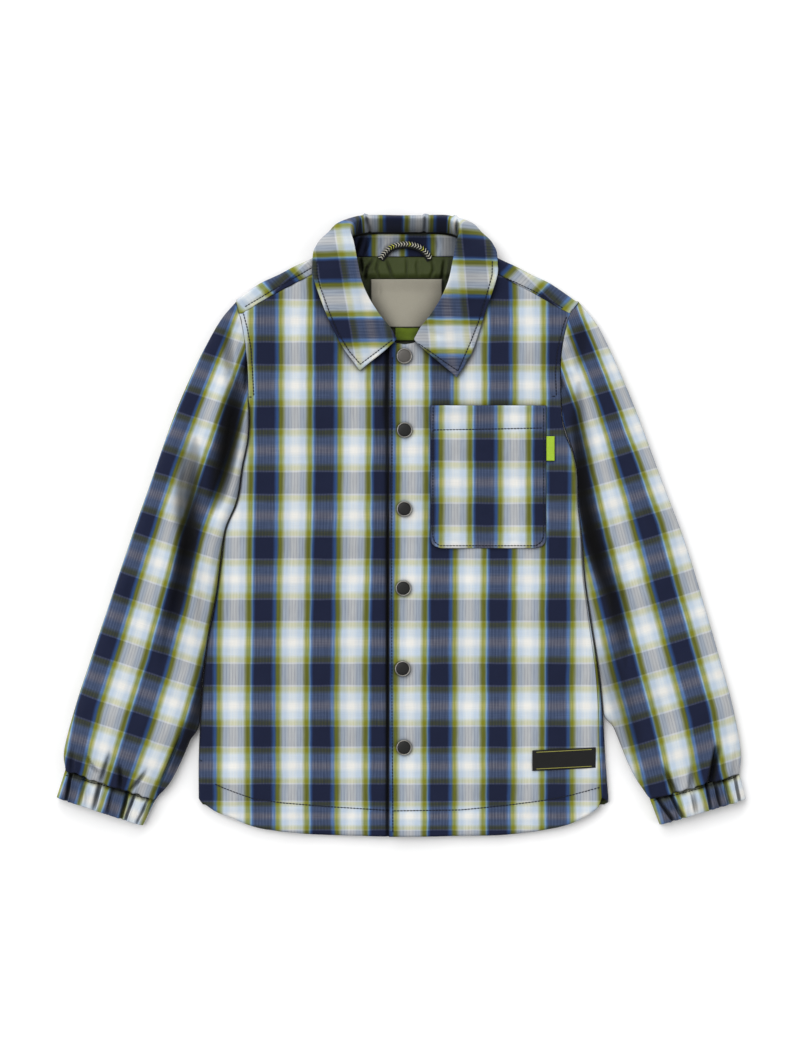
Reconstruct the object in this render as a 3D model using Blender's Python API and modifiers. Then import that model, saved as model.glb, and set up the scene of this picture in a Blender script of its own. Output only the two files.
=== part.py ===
# A child's plaid shacket, snapped shut and laid flat on its back, front up.
# X runs to the right seen from above, Y from the hem to the collar, Z up from the surface it lies on.

import math

import bpy
import numpy as np

# Cloth and seams
WALL = 0.0024
COLLAR_WALL = 0.0022
LINING_WALL = 0.0009
FACING_WALL = 0.0010
LABEL_WALL = 0.0005
POCKET_WALL = 0.0016
SEAM_GAP = 0.0003
ARMHOLE_GAP = 0.0006
SLEEVE_SIDE_GAP = 0.0010
ON_CLOTH_GAP = 0.0004

# The body lying flat
FRONT_TOP = 0.0076
EDGE_RADIUS = FRONT_TOP / 2
EDGE_ARC = math.pi * EDGE_RADIUS
FRONT_EDGE_RUN = 0.006
UNDERARM_LEFT = 0.127
UNDERARM_RIGHT = 0.098
UNDERARM_TURN = 0.014
# The wearer's left side seam turns from the edge onto the front, down to the hem
SEAM_TURN_FROM_Y = 0.080
SEAM_TURN_LENGTH = 0.350
SEAM_TURN_ON_TOP = 0.003
YOKE_SEAM_Y = 0.200
NECK_X = 0.004
NECK_HALF_WIDTH = 0.0605

# The placket: the wearer's left front lies over the right one
PLACKET_X = -0.0115
PLACKET_UNDER_X = 0.020
PLACKET_EASE = 0.045
PLACKET_RAISE = WALL + SEAM_GAP
COLLAR_OVER_PLACKET = (PLACKET_X - 0.010, PLACKET_X - 0.002)

# Rows of the body's grids
BODY_STEPS = 18
BODY_EDGE_SHARES = (1.0, 0.96, 0.62, 0.28, 0.0)
BACK_FLAT_COLUMNS = 9
# Columns of the grids, as distances from the neck's centre line
FRONT_COLUMNS = (0.0120, 0.0220, 0.0340, 0.0465, 0.0535, 0.0605, 0.0760, 0.0940, 0.1120, 0.1300)
YOKE_COLUMNS = (
    0.1800, 0.1600, 0.1450, 0.1280, 0.1110, 0.0940, 0.0760, 0.0605, 0.0520, 0.0400, 0.0200,
)
YOKE_TURN_STEPS = 4
YOKE_FRONT_STEPS = 2

# The collar fall lies under the yoke and lifts it
COLLAR_LIFT = COLLAR_WALL + 2.0 * SEAM_GAP
LIFT_FROM_Y = 0.232
LIFT_FULL_Y = 0.250
LIFT_FULL_X = 0.088
LIFT_END_X = 0.106
# Rows across the lifted stretch, shared by the yoke and the lining
LIFT_ROWS = (0.218, 0.232, 0.238, 0.244, 0.250)
LIFT_ROWS_END = 0.256

# Columns: y, x of the wearer's right side edge, and above the underarm of the armhole seam
LEFT_SIDE = (
    (-0.271, -0.2020), (-0.233, -0.2020), (-0.187, -0.2000), (-0.138, -0.1960),
    (-0.104, -0.1910), (-0.068, -0.1840), (-0.034, -0.1795), (0.000, -0.1740),
    (0.020, -0.1650), (0.060, -0.1580), (0.085, -0.1530), (0.129, -0.1520),
    (0.171, -0.1540), (0.211, -0.1610), (0.224, -0.1645),
)
# Columns: y, x of the wearer's left side edge, and above the underarm of the armhole seam
RIGHT_SIDE = (
    (-0.271, 0.2070), (-0.231, 0.2040), (-0.179, 0.2010), (-0.149, 0.1980),
    (-0.097, 0.1900), (-0.057, 0.1840), (-0.015, 0.1805), (0.023, 0.1765),
    (0.054, 0.1755), (0.073, 0.1715), (0.098, 0.1620), (0.132, 0.1590),
    (0.175, 0.1600), (0.196, 0.1640), (0.210, 0.1680), (0.224, 0.1770),
)
# Columns: x, y of the shirt-tail hem
HEM = (
    (-0.202, -0.2710), (-0.192, -0.2800), (-0.167, -0.2920), (-0.144, -0.3005),
    (-0.123, -0.3040), (-0.038, -0.3090), (0.056, -0.3090), (0.106, -0.3076),
    (0.144, -0.3028), (0.171, -0.2960), (0.190, -0.2860), (0.207, -0.2710),
)
# Columns: distance from the neck's centre line, y
FRONT_NECKLINE = (
    (0.0000, 0.1810), (0.0120, 0.1840), (0.0220, 0.1920), (0.0340, 0.2060),
    (0.0465, 0.2240), (0.0535, 0.2430), (0.0605, 0.2660),
)
BACK_NECKLINE = (
    (0.0000, 0.2940), (0.0300, 0.2940), (0.0450, 0.2925), (0.0520, 0.2900),
    (0.0570, 0.2860), (0.0605, 0.2800),
)
FORWARD_SEAM = (
    (0.0605, 0.2660), (0.0940, 0.2500), (0.1210, 0.2360), (0.1420, 0.2240),
    (0.1625, 0.2120),
)
SHOULDER_EDGE = (
    (0.0605, 0.2840), (0.0930, 0.2670), (0.1110, 0.2590), (0.1250, 0.2515),
    (0.1450, 0.2420), (0.1600, 0.2320), (0.1710, 0.2240),
)

# Columns: x, y, heading in degrees from +X, half length, half width, height, of folds on the fronts
BODY_FOLDS = (
    (-0.118, 0.120, -52.0, 0.060, 0.011, 0.0014),
    (-0.096, 0.176, -35.0, 0.045, 0.010, 0.0010),
    (-0.150, 0.010, -72.0, 0.070, 0.012, 0.0016),
    (-0.090, -0.180, 82.0, 0.090, 0.020, 0.0012),
    (-0.155, -0.230, 74.0, 0.060, 0.014, 0.0012),
    (0.118, 0.168, 38.0, 0.045, 0.011, 0.0012),
    (0.160, 0.020, 80.0, 0.060, 0.010, 0.0014),
    (0.090, -0.120, 97.0, 0.080, 0.020, 0.0012),
    (0.150, -0.170, 100.0, 0.070, 0.014, 0.0012),
)
# The right front dips beside the placket edge
PLACKET_DIP = (-0.017, 0.117, 90.0, 0.026, 0.004, -0.0011)

# Sleeve rings, from the armhole to the cuff seam.
# Columns: outer x, outer y, inner x, inner y, height, valley's share from the inner edge, its depth
SLEEVE_LEFT_RINGS = (
    (-0.1650, 0.2240, -0.1520, 0.1270, 0.0076, 0.46, 0.0000),
    (-0.1790, 0.2070, -0.1550, 0.1130, 0.0105, 0.46, 0.0012),
    (-0.1930, 0.1830, -0.1560, 0.0900, 0.0130, 0.44, 0.0036),
    (-0.2090, 0.1510, -0.1590, 0.0620, 0.0145, 0.41, 0.0054),
    (-0.2280, 0.1060, -0.1650, 0.0250, 0.0152, 0.36, 0.0060),
    (-0.2490, 0.0460, -0.1780, -0.0180, 0.0152, 0.31, 0.0060),
    (-0.2700, -0.0140, -0.1840, -0.0620, 0.0150, 0.28, 0.0054),
    (-0.2900, -0.0740, -0.1920, -0.1080, 0.0148, 0.25, 0.0042),
    (-0.3100, -0.1340, -0.1995, -0.1680, 0.0148, 0.23, 0.0024),
    (-0.3240, -0.1770, -0.2080, -0.2070, 0.0150, 0.22, 0.0008),
    (-0.3360, -0.2220, -0.2280, -0.2520, 0.0156, 0.20, 0.0000),
    (-0.3350, -0.2435, -0.2450, -0.2725, 0.0136, 0.20, 0.0000),
)
SLEEVE_RIGHT_RINGS = (
    (0.1775, 0.2240, 0.1610, 0.0980, 0.0076, 0.34, 0.0000),
    (0.1930, 0.2050, 0.1700, 0.0840, 0.0112, 0.32, 0.0012),
    (0.2060, 0.1810, 0.1750, 0.0680, 0.0136, 0.29, 0.0030),
    (0.2230, 0.1430, 0.1760, 0.0400, 0.0150, 0.25, 0.0044),
    (0.2380, 0.1060, 0.1780, 0.0150, 0.0155, 0.21, 0.0048),
    (0.2600, 0.0460, 0.1815, -0.0250, 0.0155, 0.19, 0.0048),
    (0.2820, -0.0120, 0.1860, -0.0700, 0.0152, 0.18, 0.0040),
    (0.3000, -0.0700, 0.1935, -0.1150, 0.0150, 0.17, 0.0026),
    (0.3190, -0.1360, 0.2010, -0.1720, 0.0150, 0.16, 0.0014),
    (0.3310, -0.1800, 0.2150, -0.2080, 0.0152, 0.16, 0.0006),
    (0.3390, -0.2240, 0.2310, -0.2460, 0.0156, 0.16, 0.0000),
    (0.3376, -0.2470, 0.2480, -0.2720, 0.0136, 0.16, 0.0000),
)
SLEEVE_STEPS = 16
SLEEVE_RING_STEPS = (16, 8)
SLEEVE_EDGE_HEIGHT = 0.0046
SLEEVE_TOP_ROUND = 0.012
SLEEVE_BOTTOM_ROUND = 0.004
VALLEY_HALF_WIDTH = 0.085
# Columns: share from the inner edge, depth at the cuff seam, half width, of the gathers above the cuff
LEFT_GATHERS = (
    (0.12, 0.0030, 0.035), (0.42, 0.0018, 0.040), (0.66, 0.0036, 0.035), (0.88, 0.0022, 0.030),
)
RIGHT_GATHERS = (
    (0.22, 0.0030, 0.040), (0.46, 0.0018, 0.040), (0.70, 0.0040, 0.035), (0.90, 0.0020, 0.030),
)
GATHER_REACH = 0.16
SLEEVE_CROWN = 0.10
# Shares of the length over which a sleeve leaves the armhole's line and flatness
ARMHOLE_BOW_REACH = 0.14
ARMHOLE_FLAT_REACH = 0.10

# Cuffs. Columns: outer x, outer y, inner x, inner y of the seam ring, then of the lower ring
CUFF_LEFT_ENDS = ((-0.3352, -0.2438, -0.2452, -0.2728), (-0.3436, -0.2704, -0.2575, -0.2986))
CUFF_RIGHT_ENDS = ((0.3378, -0.2473, 0.2482, -0.2723), (0.3440, -0.2720, 0.2580, -0.2977))
CUFF_RING_STEPS = (28, 6)
CUFF_ROWS = 3
CUFF_HEIGHT = 0.0128
CUFF_BULGE = 0.0016
CUFF_PLEATS = 6.5
CUFF_PLEAT_DEPTH = 0.0012

# Lines along the collar, from the centre back to the point of the leaf.
# Columns: distance from the neck's centre line, y, height above what carries it
COLLAR_SEAM = (
    (0.0000, 0.2924, 0.0066), (0.0240, 0.2924, 0.0066), (0.0440, 0.2912, 0.0068),
    (0.0550, 0.2860, 0.0075), (0.0572, 0.2740, 0.0090), (0.0568, 0.2660, 0.0115),
    (0.0550, 0.2570, 0.0002), (0.0503, 0.2430, 0.0002), (0.0426, 0.2250, 0.0002),
    (0.0298, 0.2075, 0.0002), (0.0190, 0.1960, 0.0004), (0.0100, 0.1885, 0.0010),
)
COLLAR_ROLL = (
    (0.0000, 0.3040, 0.0280), (0.0240, 0.3040, 0.0280), (0.0430, 0.3030, 0.0280),
    (0.0540, 0.2960, 0.0280), (0.0510, 0.2820, 0.0270), (0.0490, 0.2720, 0.0260),
    (0.0470, 0.2610, 0.0142), (0.0430, 0.2430, 0.0135), (0.0350, 0.2250, 0.0115),
    (0.0240, 0.2080, 0.0095), (0.0150, 0.1970, 0.0074), (0.0090, 0.1850, 0.0050),
)
COLLAR_FALL = (
    (0.0000, 0.3088, 0.0140), (0.0245, 0.3092, 0.0140), (0.0460, 0.3084, 0.0145),
    (0.0670, 0.3010, 0.0150), (0.0700, 0.2900, 0.0180), (0.0700, 0.2790, 0.0205),
    (0.0670, 0.2650, 0.0106), (0.0610, 0.2470, 0.0104), (0.0510, 0.2220, 0.0090),
    (0.0390, 0.1990, 0.0078), (0.0290, 0.1860, 0.0062), (0.0210, 0.1740, 0.0046),
)
COLLAR_TURN = (
    (0.0000, 0.3030, 0.0006), (0.0250, 0.3030, 0.0006), (0.0470, 0.3020, 0.0006),
    (0.0690, 0.2970, 0.0030), (0.0800, 0.2900, 0.0070), (0.0860, 0.2795, 0.0150),
    (0.0850, 0.2640, 0.0048), (0.0820, 0.2480, 0.0046), (0.0700, 0.2130, 0.0042),
    (0.0570, 0.1855, 0.0038), (0.0480, 0.1710, 0.0036), (0.0380, 0.1605, 0.0034),
)
COLLAR_EDGE = (
    (0.0000, 0.2700, 0.0000), (0.0260, 0.2710, 0.0000), (0.0470, 0.2760, 0.0000),
    (0.0630, 0.2910, 0.0002), (0.0790, 0.2870, 0.0030), (0.0900, 0.2765, 0.0125),
    (0.0922, 0.2610, 0.0028), (0.0912, 0.2465, 0.0027), (0.0772, 0.2080, 0.0027),
    (0.0632, 0.1800, 0.0027), (0.0535, 0.1660, 0.0027), (0.0450, 0.1545, 0.0027),
)
# From this section on, the front carries the collar and not the floor
COLLAR_ON_FRONT_FROM = 6
COLLAR_SECTION_STEPS = 10
# The right leaf's point lies a little further out than the left one's
RIGHT_POINT_SHIFT = (0.0065, -0.0065)
POINT_FROM_Y = 0.225
POINT_FULL_Y = 0.155

# In the neck opening
FACING_TOP_Y = 0.2912
FACING_LOW_Y = 0.2684
FACING_HALF_WIDTH = 0.0525
FACING_INSIDE_SEAM = 0.0032
LINING_TOP_Y = 0.2680
LINING_LOW_Y = 0.1780
LINING_LOW_ROWS = (LINING_LOW_Y, 0.190, 0.204)
LINING_UNDER_FRONTS = 0.006
LINING_HALF_WIDTH = 0.0565
# Columns: least x, greatest x, least y, greatest y
NECK_LABEL = (-0.0300, 0.0410, 0.1985, 0.2460)
SIZE_LABEL = (-0.0060, 0.0180, 0.1850, 0.1980)
LOOP_THICKNESS = 0.0045
LOOP_STEPS = 22
# Columns: x, y, height above the facing
LOOP_POINTS = (
    (-0.0205, 0.2655, 0.0030), (-0.0175, 0.2705, 0.0034), (-0.0125, 0.2757, 0.0042),
    (-0.0060, 0.2790, 0.0050), (0.0010, 0.2803, 0.0056), (0.0080, 0.2803, 0.0056),
    (0.0150, 0.2788, 0.0050), (0.0215, 0.2757, 0.0042), (0.0265, 0.2705, 0.0034),
    (0.0295, 0.2650, 0.0030),
)

# On the left front
POCKET_LEFT_X = 0.0295
POCKET_RIGHT_X = 0.1445
POCKET_TOP_Y = 0.1200
POCKET_LOW_Y = -0.0220
POCKET_CORNER = 0.010
# Heights of the grid's rows above the pocket's lower edge
POCKET_ROWS = (
    0.0, 0.0012, 0.0040, 0.0100, 0.030, 0.055, 0.080, 0.105, 0.125, POCKET_TOP_Y - POCKET_LOW_Y,
)
TAB = (0.1449, 0.1530, 0.0650, 0.0894)
TAB_WALL = 0.0012
HEM_LABEL = (0.1310, 0.1940, -0.2425, -0.2222)
HEM_LABEL_WALL = 0.0008
# Columns: x, y
SNAPS = (
    (0.0033, 0.1692), (0.0036, 0.0955), (0.0033, 0.0170),
    (0.0023, -0.0620), (0.0016, -0.1420), (0.0030, -0.2205),
)
SNAP_SEAT_GAP = 0.0005
SNAP_STEPS = 12
# Columns: radius, height, down the outer side of a cap
SNAP_PROFILE = (
    (0.0, 0.0019), (0.0052, 0.0021), (0.0058, 0.0026), (0.0069, 0.0025), (0.0077, 0.0013),
    (0.0074, 0.0), (0.0, 0.0),
)

# Colours
PLAID_NAVY = (0.055, 0.075, 0.150)
PLAID_PALE = (0.520, 0.600, 0.680)
LINING_GREEN = (0.130, 0.170, 0.030)
LABEL_GREIGE = (0.560, 0.540, 0.480)
LIME = (0.420, 0.620, 0.050)
BLACK = (0.012, 0.012, 0.014)
GUNMETAL = (0.100, 0.098, 0.095)


# Curves and easing

def ease(start, end, at):
    share = min(max((at - start) / (end - start), 0.0), 1.0)
    return share * share * (3.0 - 2.0 * share)


def mix(a, b, share):
    return a + (b - a) * share


def curve(table, at):
    """The value at a place on a smooth curve through rows of place and value."""
    places, values = np.array(table, dtype=float).T
    slopes = np.gradient(values, places)
    i = int(np.clip(np.searchsorted(places, at) - 1, 0, len(places) - 2))
    span = places[i + 1] - places[i]
    t = float(np.clip((at - places[i]) / span, 0.0, 1.0))
    start = (2 * t**3 - 3 * t**2 + 1) * values[i] + (t**3 - 2 * t**2 + t) * span * slopes[i]
    end = (3 * t**2 - 2 * t**3) * values[i + 1] + (t**3 - t**2) * span * slopes[i + 1]
    return float(start + end)


def through(points, at):
    """A point on a smooth curve through points, at running from 0 to 1."""
    points = np.array(points, dtype=float)
    places = np.arange(len(points))
    place = at * (len(points) - 1)
    return np.array([curve(list(zip(places, points[:, k])), place) for k in range(points.shape[1])])


# The lie of the cloth

def fold(x, y, row):
    """The height of one long soft fold at a place."""
    fold_x, fold_y, heading, half_length, half_width, height = row
    angle = math.radians(heading)
    along = (x - fold_x) * math.cos(angle) + (y - fold_y) * math.sin(angle)
    across = (y - fold_y) * math.cos(angle) - (x - fold_x) * math.sin(angle)
    return height * math.exp(-((along / half_length) ** 2) - (across / half_width) ** 2)


def collar_lift(x, y):
    beside = abs(x - NECK_X)
    return COLLAR_LIFT * ease(LIFT_FROM_Y, LIFT_FULL_Y, y) * (1.0 - ease(LIFT_FULL_X, LIFT_END_X, beside))


def front_z(x, y):
    """The outer side of the fronts, without the placket's second layer."""
    return FRONT_TOP + collar_lift(x, y) + sum(fold(x, y, row) for row in BODY_FOLDS)


def left_front_z(x, y):
    return front_z(x, y) + PLACKET_RAISE * (1.0 - ease(PLACKET_UNDER_X, PLACKET_UNDER_X + PLACKET_EASE, x))


def right_front_z(x, y):
    return front_z(x, y) + fold(x, y, PLACKET_DIP)


def under_collar_z(x, y):
    """The front that carries the collar, eased over the placket's edge."""
    return mix(front_z(x, y), left_front_z(x, y), ease(*COLLAR_OVER_PLACKET, x))


def back_inside_z(x, y):
    return collar_lift(x, y) + WALL


def side_x(side, y):
    return curve(LEFT_SIDE if side < 0 else RIGHT_SIDE, y)


def side_seam(side, y):
    """How far round the side edge the back panel comes, along the section."""
    if side < 0:
        return EDGE_ARC / 2
    turn = min(max((SEAM_TURN_FROM_Y - y) / SEAM_TURN_LENGTH, 0.0), 1.0)
    return mix(EDGE_ARC / 2, EDGE_ARC + SEAM_TURN_ON_TOP, turn)


def side_curl(side, y):
    """0 where the panels end flat at the armhole, 1 where they curl into the side seam."""
    underarm = UNDERARM_LEFT if side < 0 else UNDERARM_RIGHT
    return ease(underarm, underarm - UNDERARM_TURN, y)


def round_edge(run, inset=0.0):
    """How far inside the edge and how high, as a share, a run round the edge comes."""
    angle = min(run / EDGE_RADIUS, math.pi)
    inside = EDGE_RADIUS - (EDGE_RADIUS - inset) * math.sin(angle) + max(run - EDGE_ARC, 0.0)
    return inside, (1.0 - math.cos(angle)) / 2


def within(low, high, share, inset):
    """A height between the outer sides of two layers, or between their inner sides."""
    return mix(low + inset, high - inset, share)


def back_edge_point(side, y, share, inset):
    """From the back's flat part at 0 to its side seam or armhole at 1."""
    curl = side_curl(side, y)
    inside, lift = round_edge((side_seam(side, y) - SEAM_GAP / 2) * share, inset)
    inside = mix(EDGE_RADIUS * (1.0 - share), inside, curl)
    return (side_x(side, y) - side * inside, y, within(0.0, FRONT_TOP, lift * curl, inset))


def front_edge_point(side, y, share, height, inset):
    """From the side seam or armhole at 0 to the front's flat part at 1."""
    curl = side_curl(side, y)
    seam = side_seam(side, y) + SEAM_GAP / 2
    inside, lift = round_edge(mix(seam, EDGE_ARC + FRONT_EDGE_RUN, share), inset)
    inside = mix((EDGE_RADIUS + FRONT_EDGE_RUN) * share, inside, curl)
    x = side_x(side, y) - side * inside
    return (x, y, within(0.0, height(x, y), mix(1.0, lift, curl), inset))


# Meshes and objects

def material(name, colour, roughness, metallic=0.0):
    made = bpy.data.materials.new(name)
    made.use_nodes = True
    shader = made.node_tree.nodes["Principled BSDF"]
    shader.inputs["Base Color"].default_value = (*colour, 1.0)
    shader.inputs["Roughness"].default_value = roughness
    shader.inputs["Metallic"].default_value = metallic
    return made


def add_object(name, data, look):
    made = bpy.data.objects.new(name, data)
    bpy.data.collections["shacket"].objects.link(made)
    made.data.materials.append(look)
    return made


def mesh_object(name, points, faces, look):
    mesh = bpy.data.meshes.new(name)
    mesh.from_pydata([tuple(float(value) for value in point) for point in points], [], faces)
    mesh.shade_smooth()
    mesh.set_sharp_from_angle(angle=math.radians(50))
    return add_object(name, mesh, look)


def sheet_object(name, rows, look, wall, flip=False):
    """A sheet through rows of points, made a wall by a modifier."""
    count = len(rows[0])
    faces = []
    for low in range(0, (len(rows) - 1) * count, count):
        for i in range(low, low + count - 1):
            face = (i, i + 1, i + 1 + count, i + count)
            faces.append(face[::-1] if flip else face)
    made = mesh_object(name, [point for row in rows for point in row], faces, look)
    solidify = made.modifiers.new("wall", "SOLIDIFY")
    solidify.thickness = wall
    solidify.offset = -1.0
    solidify.use_even_offset = True
    return made


def panel_object(name, outside, inside, look, flip):
    """A wall between two grids of points, with a rim all round. A missing point leaves its faces out."""
    numbers = {}
    points = []
    for j, row in enumerate(outside):
        for i, point in enumerate(row):
            if point is not None:
                numbers[j, i] = len(points)
                points.append(point)
    count = len(points)
    points += [inside[j][i] for j, i in numbers]
    faces = []
    for j, i in numbers:
        face = [numbers.get(place) for place in ((j, i), (j, i + 1), (j + 1, i + 1), (j + 1, i))]
        if None not in face:
            faces.append(tuple(face[::-1] if flip else face))
    sides = {(face[k], face[(k + 1) % 4]) for face in faces for k in range(4)}
    rim = [(b, a, a + count, b + count) for a, b in sides if (b, a) not in sides]
    inner_faces = [tuple(number + count for number in face[::-1]) for face in faces]
    return mesh_object(name, points, faces + inner_faces + sorted(rim), look)


# The body

def back_rows(inset):
    columns = [(-1, share) for share in BODY_EDGE_SHARES]
    columns += [(0, i / BACK_FLAT_COLUMNS) for i in range(1, BACK_FLAT_COLUMNS)]
    columns += [(1, share) for share in BODY_EDGE_SHARES[::-1]]
    rows = []
    for step in range(BODY_STEPS + 1):
        row = []
        for side, share in columns:
            if side:
                low_y = HEM[0][1] if side < 0 else HEM[-1][1]
                y = mix(low_y, YOKE_SEAM_Y - SEAM_GAP / 2, step / BODY_STEPS)
                row.append(back_edge_point(side, y, share, inset))
                continue
            low_x = mix(HEM[0][0] + EDGE_RADIUS, HEM[-1][0] - EDGE_RADIUS, share)
            y = mix(curve(HEM, low_x), YOKE_SEAM_Y - SEAM_GAP / 2, step / BODY_STEPS)
            x = mix(side_x(-1, y) + EDGE_RADIUS, side_x(1, y) - EDGE_RADIUS, share)
            row.append((x, y, inset))
        rows.append(row)
    return rows


def make_back(look):
    return panel_object("back", back_rows(0.0), back_rows(WALL), look, True)


def front_top_y(x):
    beside = abs(x - NECK_X)
    if beside < NECK_HALF_WIDTH:
        return curve(FRONT_NECKLINE, beside)
    return curve(FORWARD_SEAM, min(beside, FORWARD_SEAM[-1][0]))


def column_end(x_at, line_y, y):
    """Where a column, whose x goes with y, comes to a line."""
    for _ in range(8):
        y = line_y(x_at(y))
    return y


def front_rows(side, open_x, height, inset):
    """Rows of one front, from its open edge at the placket to the side seam."""
    end_inset = EDGE_RADIUS + FRONT_EDGE_RUN
    top_end_x = (LEFT_SIDE if side < 0 else RIGHT_SIDE)[-1][1] - side * end_inset
    low_end_x = (HEM[0] if side < 0 else HEM[-1])[0] - side * end_inset
    flat_x = [open_x] + ([NECK_X] if side < 0 else [])
    flat_x += [NECK_X + side * beside for beside in FRONT_COLUMNS] + [top_end_x]
    low_y = (HEM[0] if side < 0 else HEM[-1])[1]
    top_y = FORWARD_SEAM[-1][1] - SEAM_GAP / 2
    row_ys = [mix(low_y, YOKE_SEAM_Y - SEAM_GAP / 2, step / BODY_STEPS) for step in range(BODY_STEPS + 1)]
    row_ys.append(top_y)
    rows = []
    for side_y in row_ys:
        up = (side_y - low_y) / (top_y - low_y)
        row = []
        for top_x in flat_x:
            share = (top_x - open_x) / (top_end_x - open_x)

            def x_at(y):
                return mix(open_x, side_x(side, y) - side * end_inset, share)

            column_top = column_end(x_at, front_top_y, top_y) - SEAM_GAP / 2
            y = mix(curve(HEM, mix(open_x, low_end_x, share)), column_top, up)
            row.append((x_at(y), y, height(x_at(y), y) - inset))
        for share in BODY_EDGE_SHARES[-2::-1]:
            row.append(front_edge_point(side, side_y, 1.0 - share, height, inset))
        rows.append(row)
    return rows


def make_front(name, side, open_x, height, look):
    outside = front_rows(side, open_x, height, 0.0)
    inside = front_rows(side, open_x, height, WALL)
    return panel_object(name, outside, inside, look, side < 0)


def yoke_column(side, beside, inset):
    """Up the back, round the shoulder edge and down to the forward seam, or only to the back neckline."""
    half_width = abs((LEFT_SIDE if side < 0 else RIGHT_SIDE)[-1][1] - NECK_X)
    share = min(beside / half_width, 1.0)
    shoulder = beside >= NECK_HALF_WIDTH

    def x_at(y):
        return NECK_X + (side_x(side, y) - NECK_X) * share if side else NECK_X

    def along(table):
        return lambda x: curve(table, min(abs(x - NECK_X), table[-1][0]))

    def place(y, lift):
        return (x_at(y), y, within(0.0, FRONT_TOP, lift, inset) + collar_lift(x_at(y), y))

    edge_y = column_end(x_at, along(SHOULDER_EDGE), YOKE_SEAM_Y) if shoulder else None
    end_y = edge_y - EDGE_RADIUS if shoulder else curve(BACK_NECKLINE, beside)
    start_y = YOKE_SEAM_Y + SEAM_GAP / 2
    squeeze = min(1.0, (end_y - start_y) / (LIFT_ROWS_END - start_y))
    flat_ys = [start_y] + [start_y + (y - start_y) * squeeze for y in LIFT_ROWS] + [end_y]
    points = [place(y, 0.0) for y in flat_ys]
    if not shoulder:
        return points + [None] * (YOKE_TURN_STEPS + YOKE_FRONT_STEPS)
    for i in range(1, YOKE_TURN_STEPS + 1):
        inside, lift = round_edge(EDGE_ARC * i / YOKE_TURN_STEPS, inset)
        points.append(place(edge_y - inside, lift))
    seam_y = column_end(x_at, along(FORWARD_SEAM), edge_y) + SEAM_GAP / 2
    for i in range(1, YOKE_FRONT_STEPS + 1):
        points.append(place(mix(edge_y - EDGE_RADIUS, seam_y, i / YOKE_FRONT_STEPS), 1.0))
    return points


def yoke_rows(inset):
    columns = [yoke_column(-1, beside, inset) for beside in YOKE_COLUMNS]
    columns.append(yoke_column(0, 0.0, inset))
    columns += [yoke_column(1, beside, inset) for beside in YOKE_COLUMNS[::-1]]
    return [list(row) for row in zip(*columns)]


def make_yoke(look):
    return panel_object("yoke", yoke_rows(0.0), yoke_rows(WALL), look, True)


# The sleeves and cuffs

def ring_shares(steps):
    return [0.5 - 0.5 * math.cos(math.pi * i / steps) for i in range(steps + 1)]


def ring_points(outer, inner, top, edge_height, steps, inset=0.0, bow=None):
    """A flattened ring on the floor between an inner and an outer point, or one inset into its wall."""
    width = math.dist(outer, inner)
    top_steps, bottom_steps = steps

    def place(share, z):
        share = mix(inset / width, 1.0 - inset / width, share)
        shift = bow(share) if bow else 0.0
        return (mix(inner[0], outer[0], share) + shift, mix(inner[1], outer[1], share), z)

    def rounded(share, reach):
        near = min(share, 1.0 - share) * width / (reach - inset)
        return math.sqrt(max(1.0 - (1.0 - min(near, 1.0)) ** 2, 0.0))

    points = []
    for share in ring_shares(bottom_steps):
        points.append(place(share, edge_height - (edge_height - inset) * rounded(share, SLEEVE_BOTTOM_ROUND)))
    for share in ring_shares(top_steps)[-2:0:-1]:
        rise = top(share) - inset - edge_height
        points.append(place(share, edge_height + rise * rounded(share, SLEEVE_TOP_ROUND)))
    return points


def tube_object(name, outside, inside, look, flip):
    """A wall between an outer and an inner tube of rings, open at both ends."""
    rings = outside + inside[::-1]
    count = len(rings[0])
    points = [point for ring in rings for point in ring]
    faces = []
    for k in range(len(rings)):
        low, high = k * count, (k + 1) % len(rings) * count
        for i in range(count):
            j = (i + 1) % count
            face = (low + i, low + j, high + j, high + i)
            faces.append(face[::-1] if flip else face)
    return mesh_object(name, points, faces, look)


def make_sleeve(name, side, table, gathers, look):
    armhole_line = (np.array(table[0][0:2]), np.array(table[0][2:4]))

    def bow(share):
        x, y = mix(armhole_line[1], armhole_line[0], share)
        return side_x(side, y) + side * ARMHOLE_GAP - x

    outside, inside = [], []
    for step in range(SLEEVE_STEPS + 1):
        along = step / SLEEVE_STEPS
        outer_x, outer_y, inner_x, inner_y, height, valley, depth = through(table, along)
        clear_x = side_x(side, inner_y) + side * SLEEVE_SIDE_GAP
        inner_x = max(inner_x, clear_x) if side > 0 else min(inner_x, clear_x)
        bowed = 1.0 - ease(0.0, ARMHOLE_BOW_REACH, along)
        rounded = ease(0.0, ARMHOLE_FLAT_REACH, along)
        gathered = ease(1.0 - GATHER_REACH, 1.0, along)

        def top(share):
            low = depth * math.exp(-(((share - valley) / VALLEY_HALF_WIDTH) ** 2))
            for place, dip, half_width in gathers:
                low += dip * gathered * math.exp(-(((share - place) / half_width) ** 2))
            crown = height * (1.0 - SLEEVE_CROWN + SLEEVE_CROWN * math.sin(math.pi * share))
            return mix(FRONT_TOP, crown, rounded) - low

        edge = mix(FRONT_TOP / 2, SLEEVE_EDGE_HEIGHT, rounded)
        for rings, inset in ((outside, 0.0), (inside, WALL)):
            rings.append(ring_points(
                (outer_x, outer_y), (inner_x, inner_y), top, edge, SLEEVE_RING_STEPS, inset,
                lambda share: bow(share) * bowed,
            ))
    return tube_object(name, outside, inside, look, side < 0)


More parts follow.
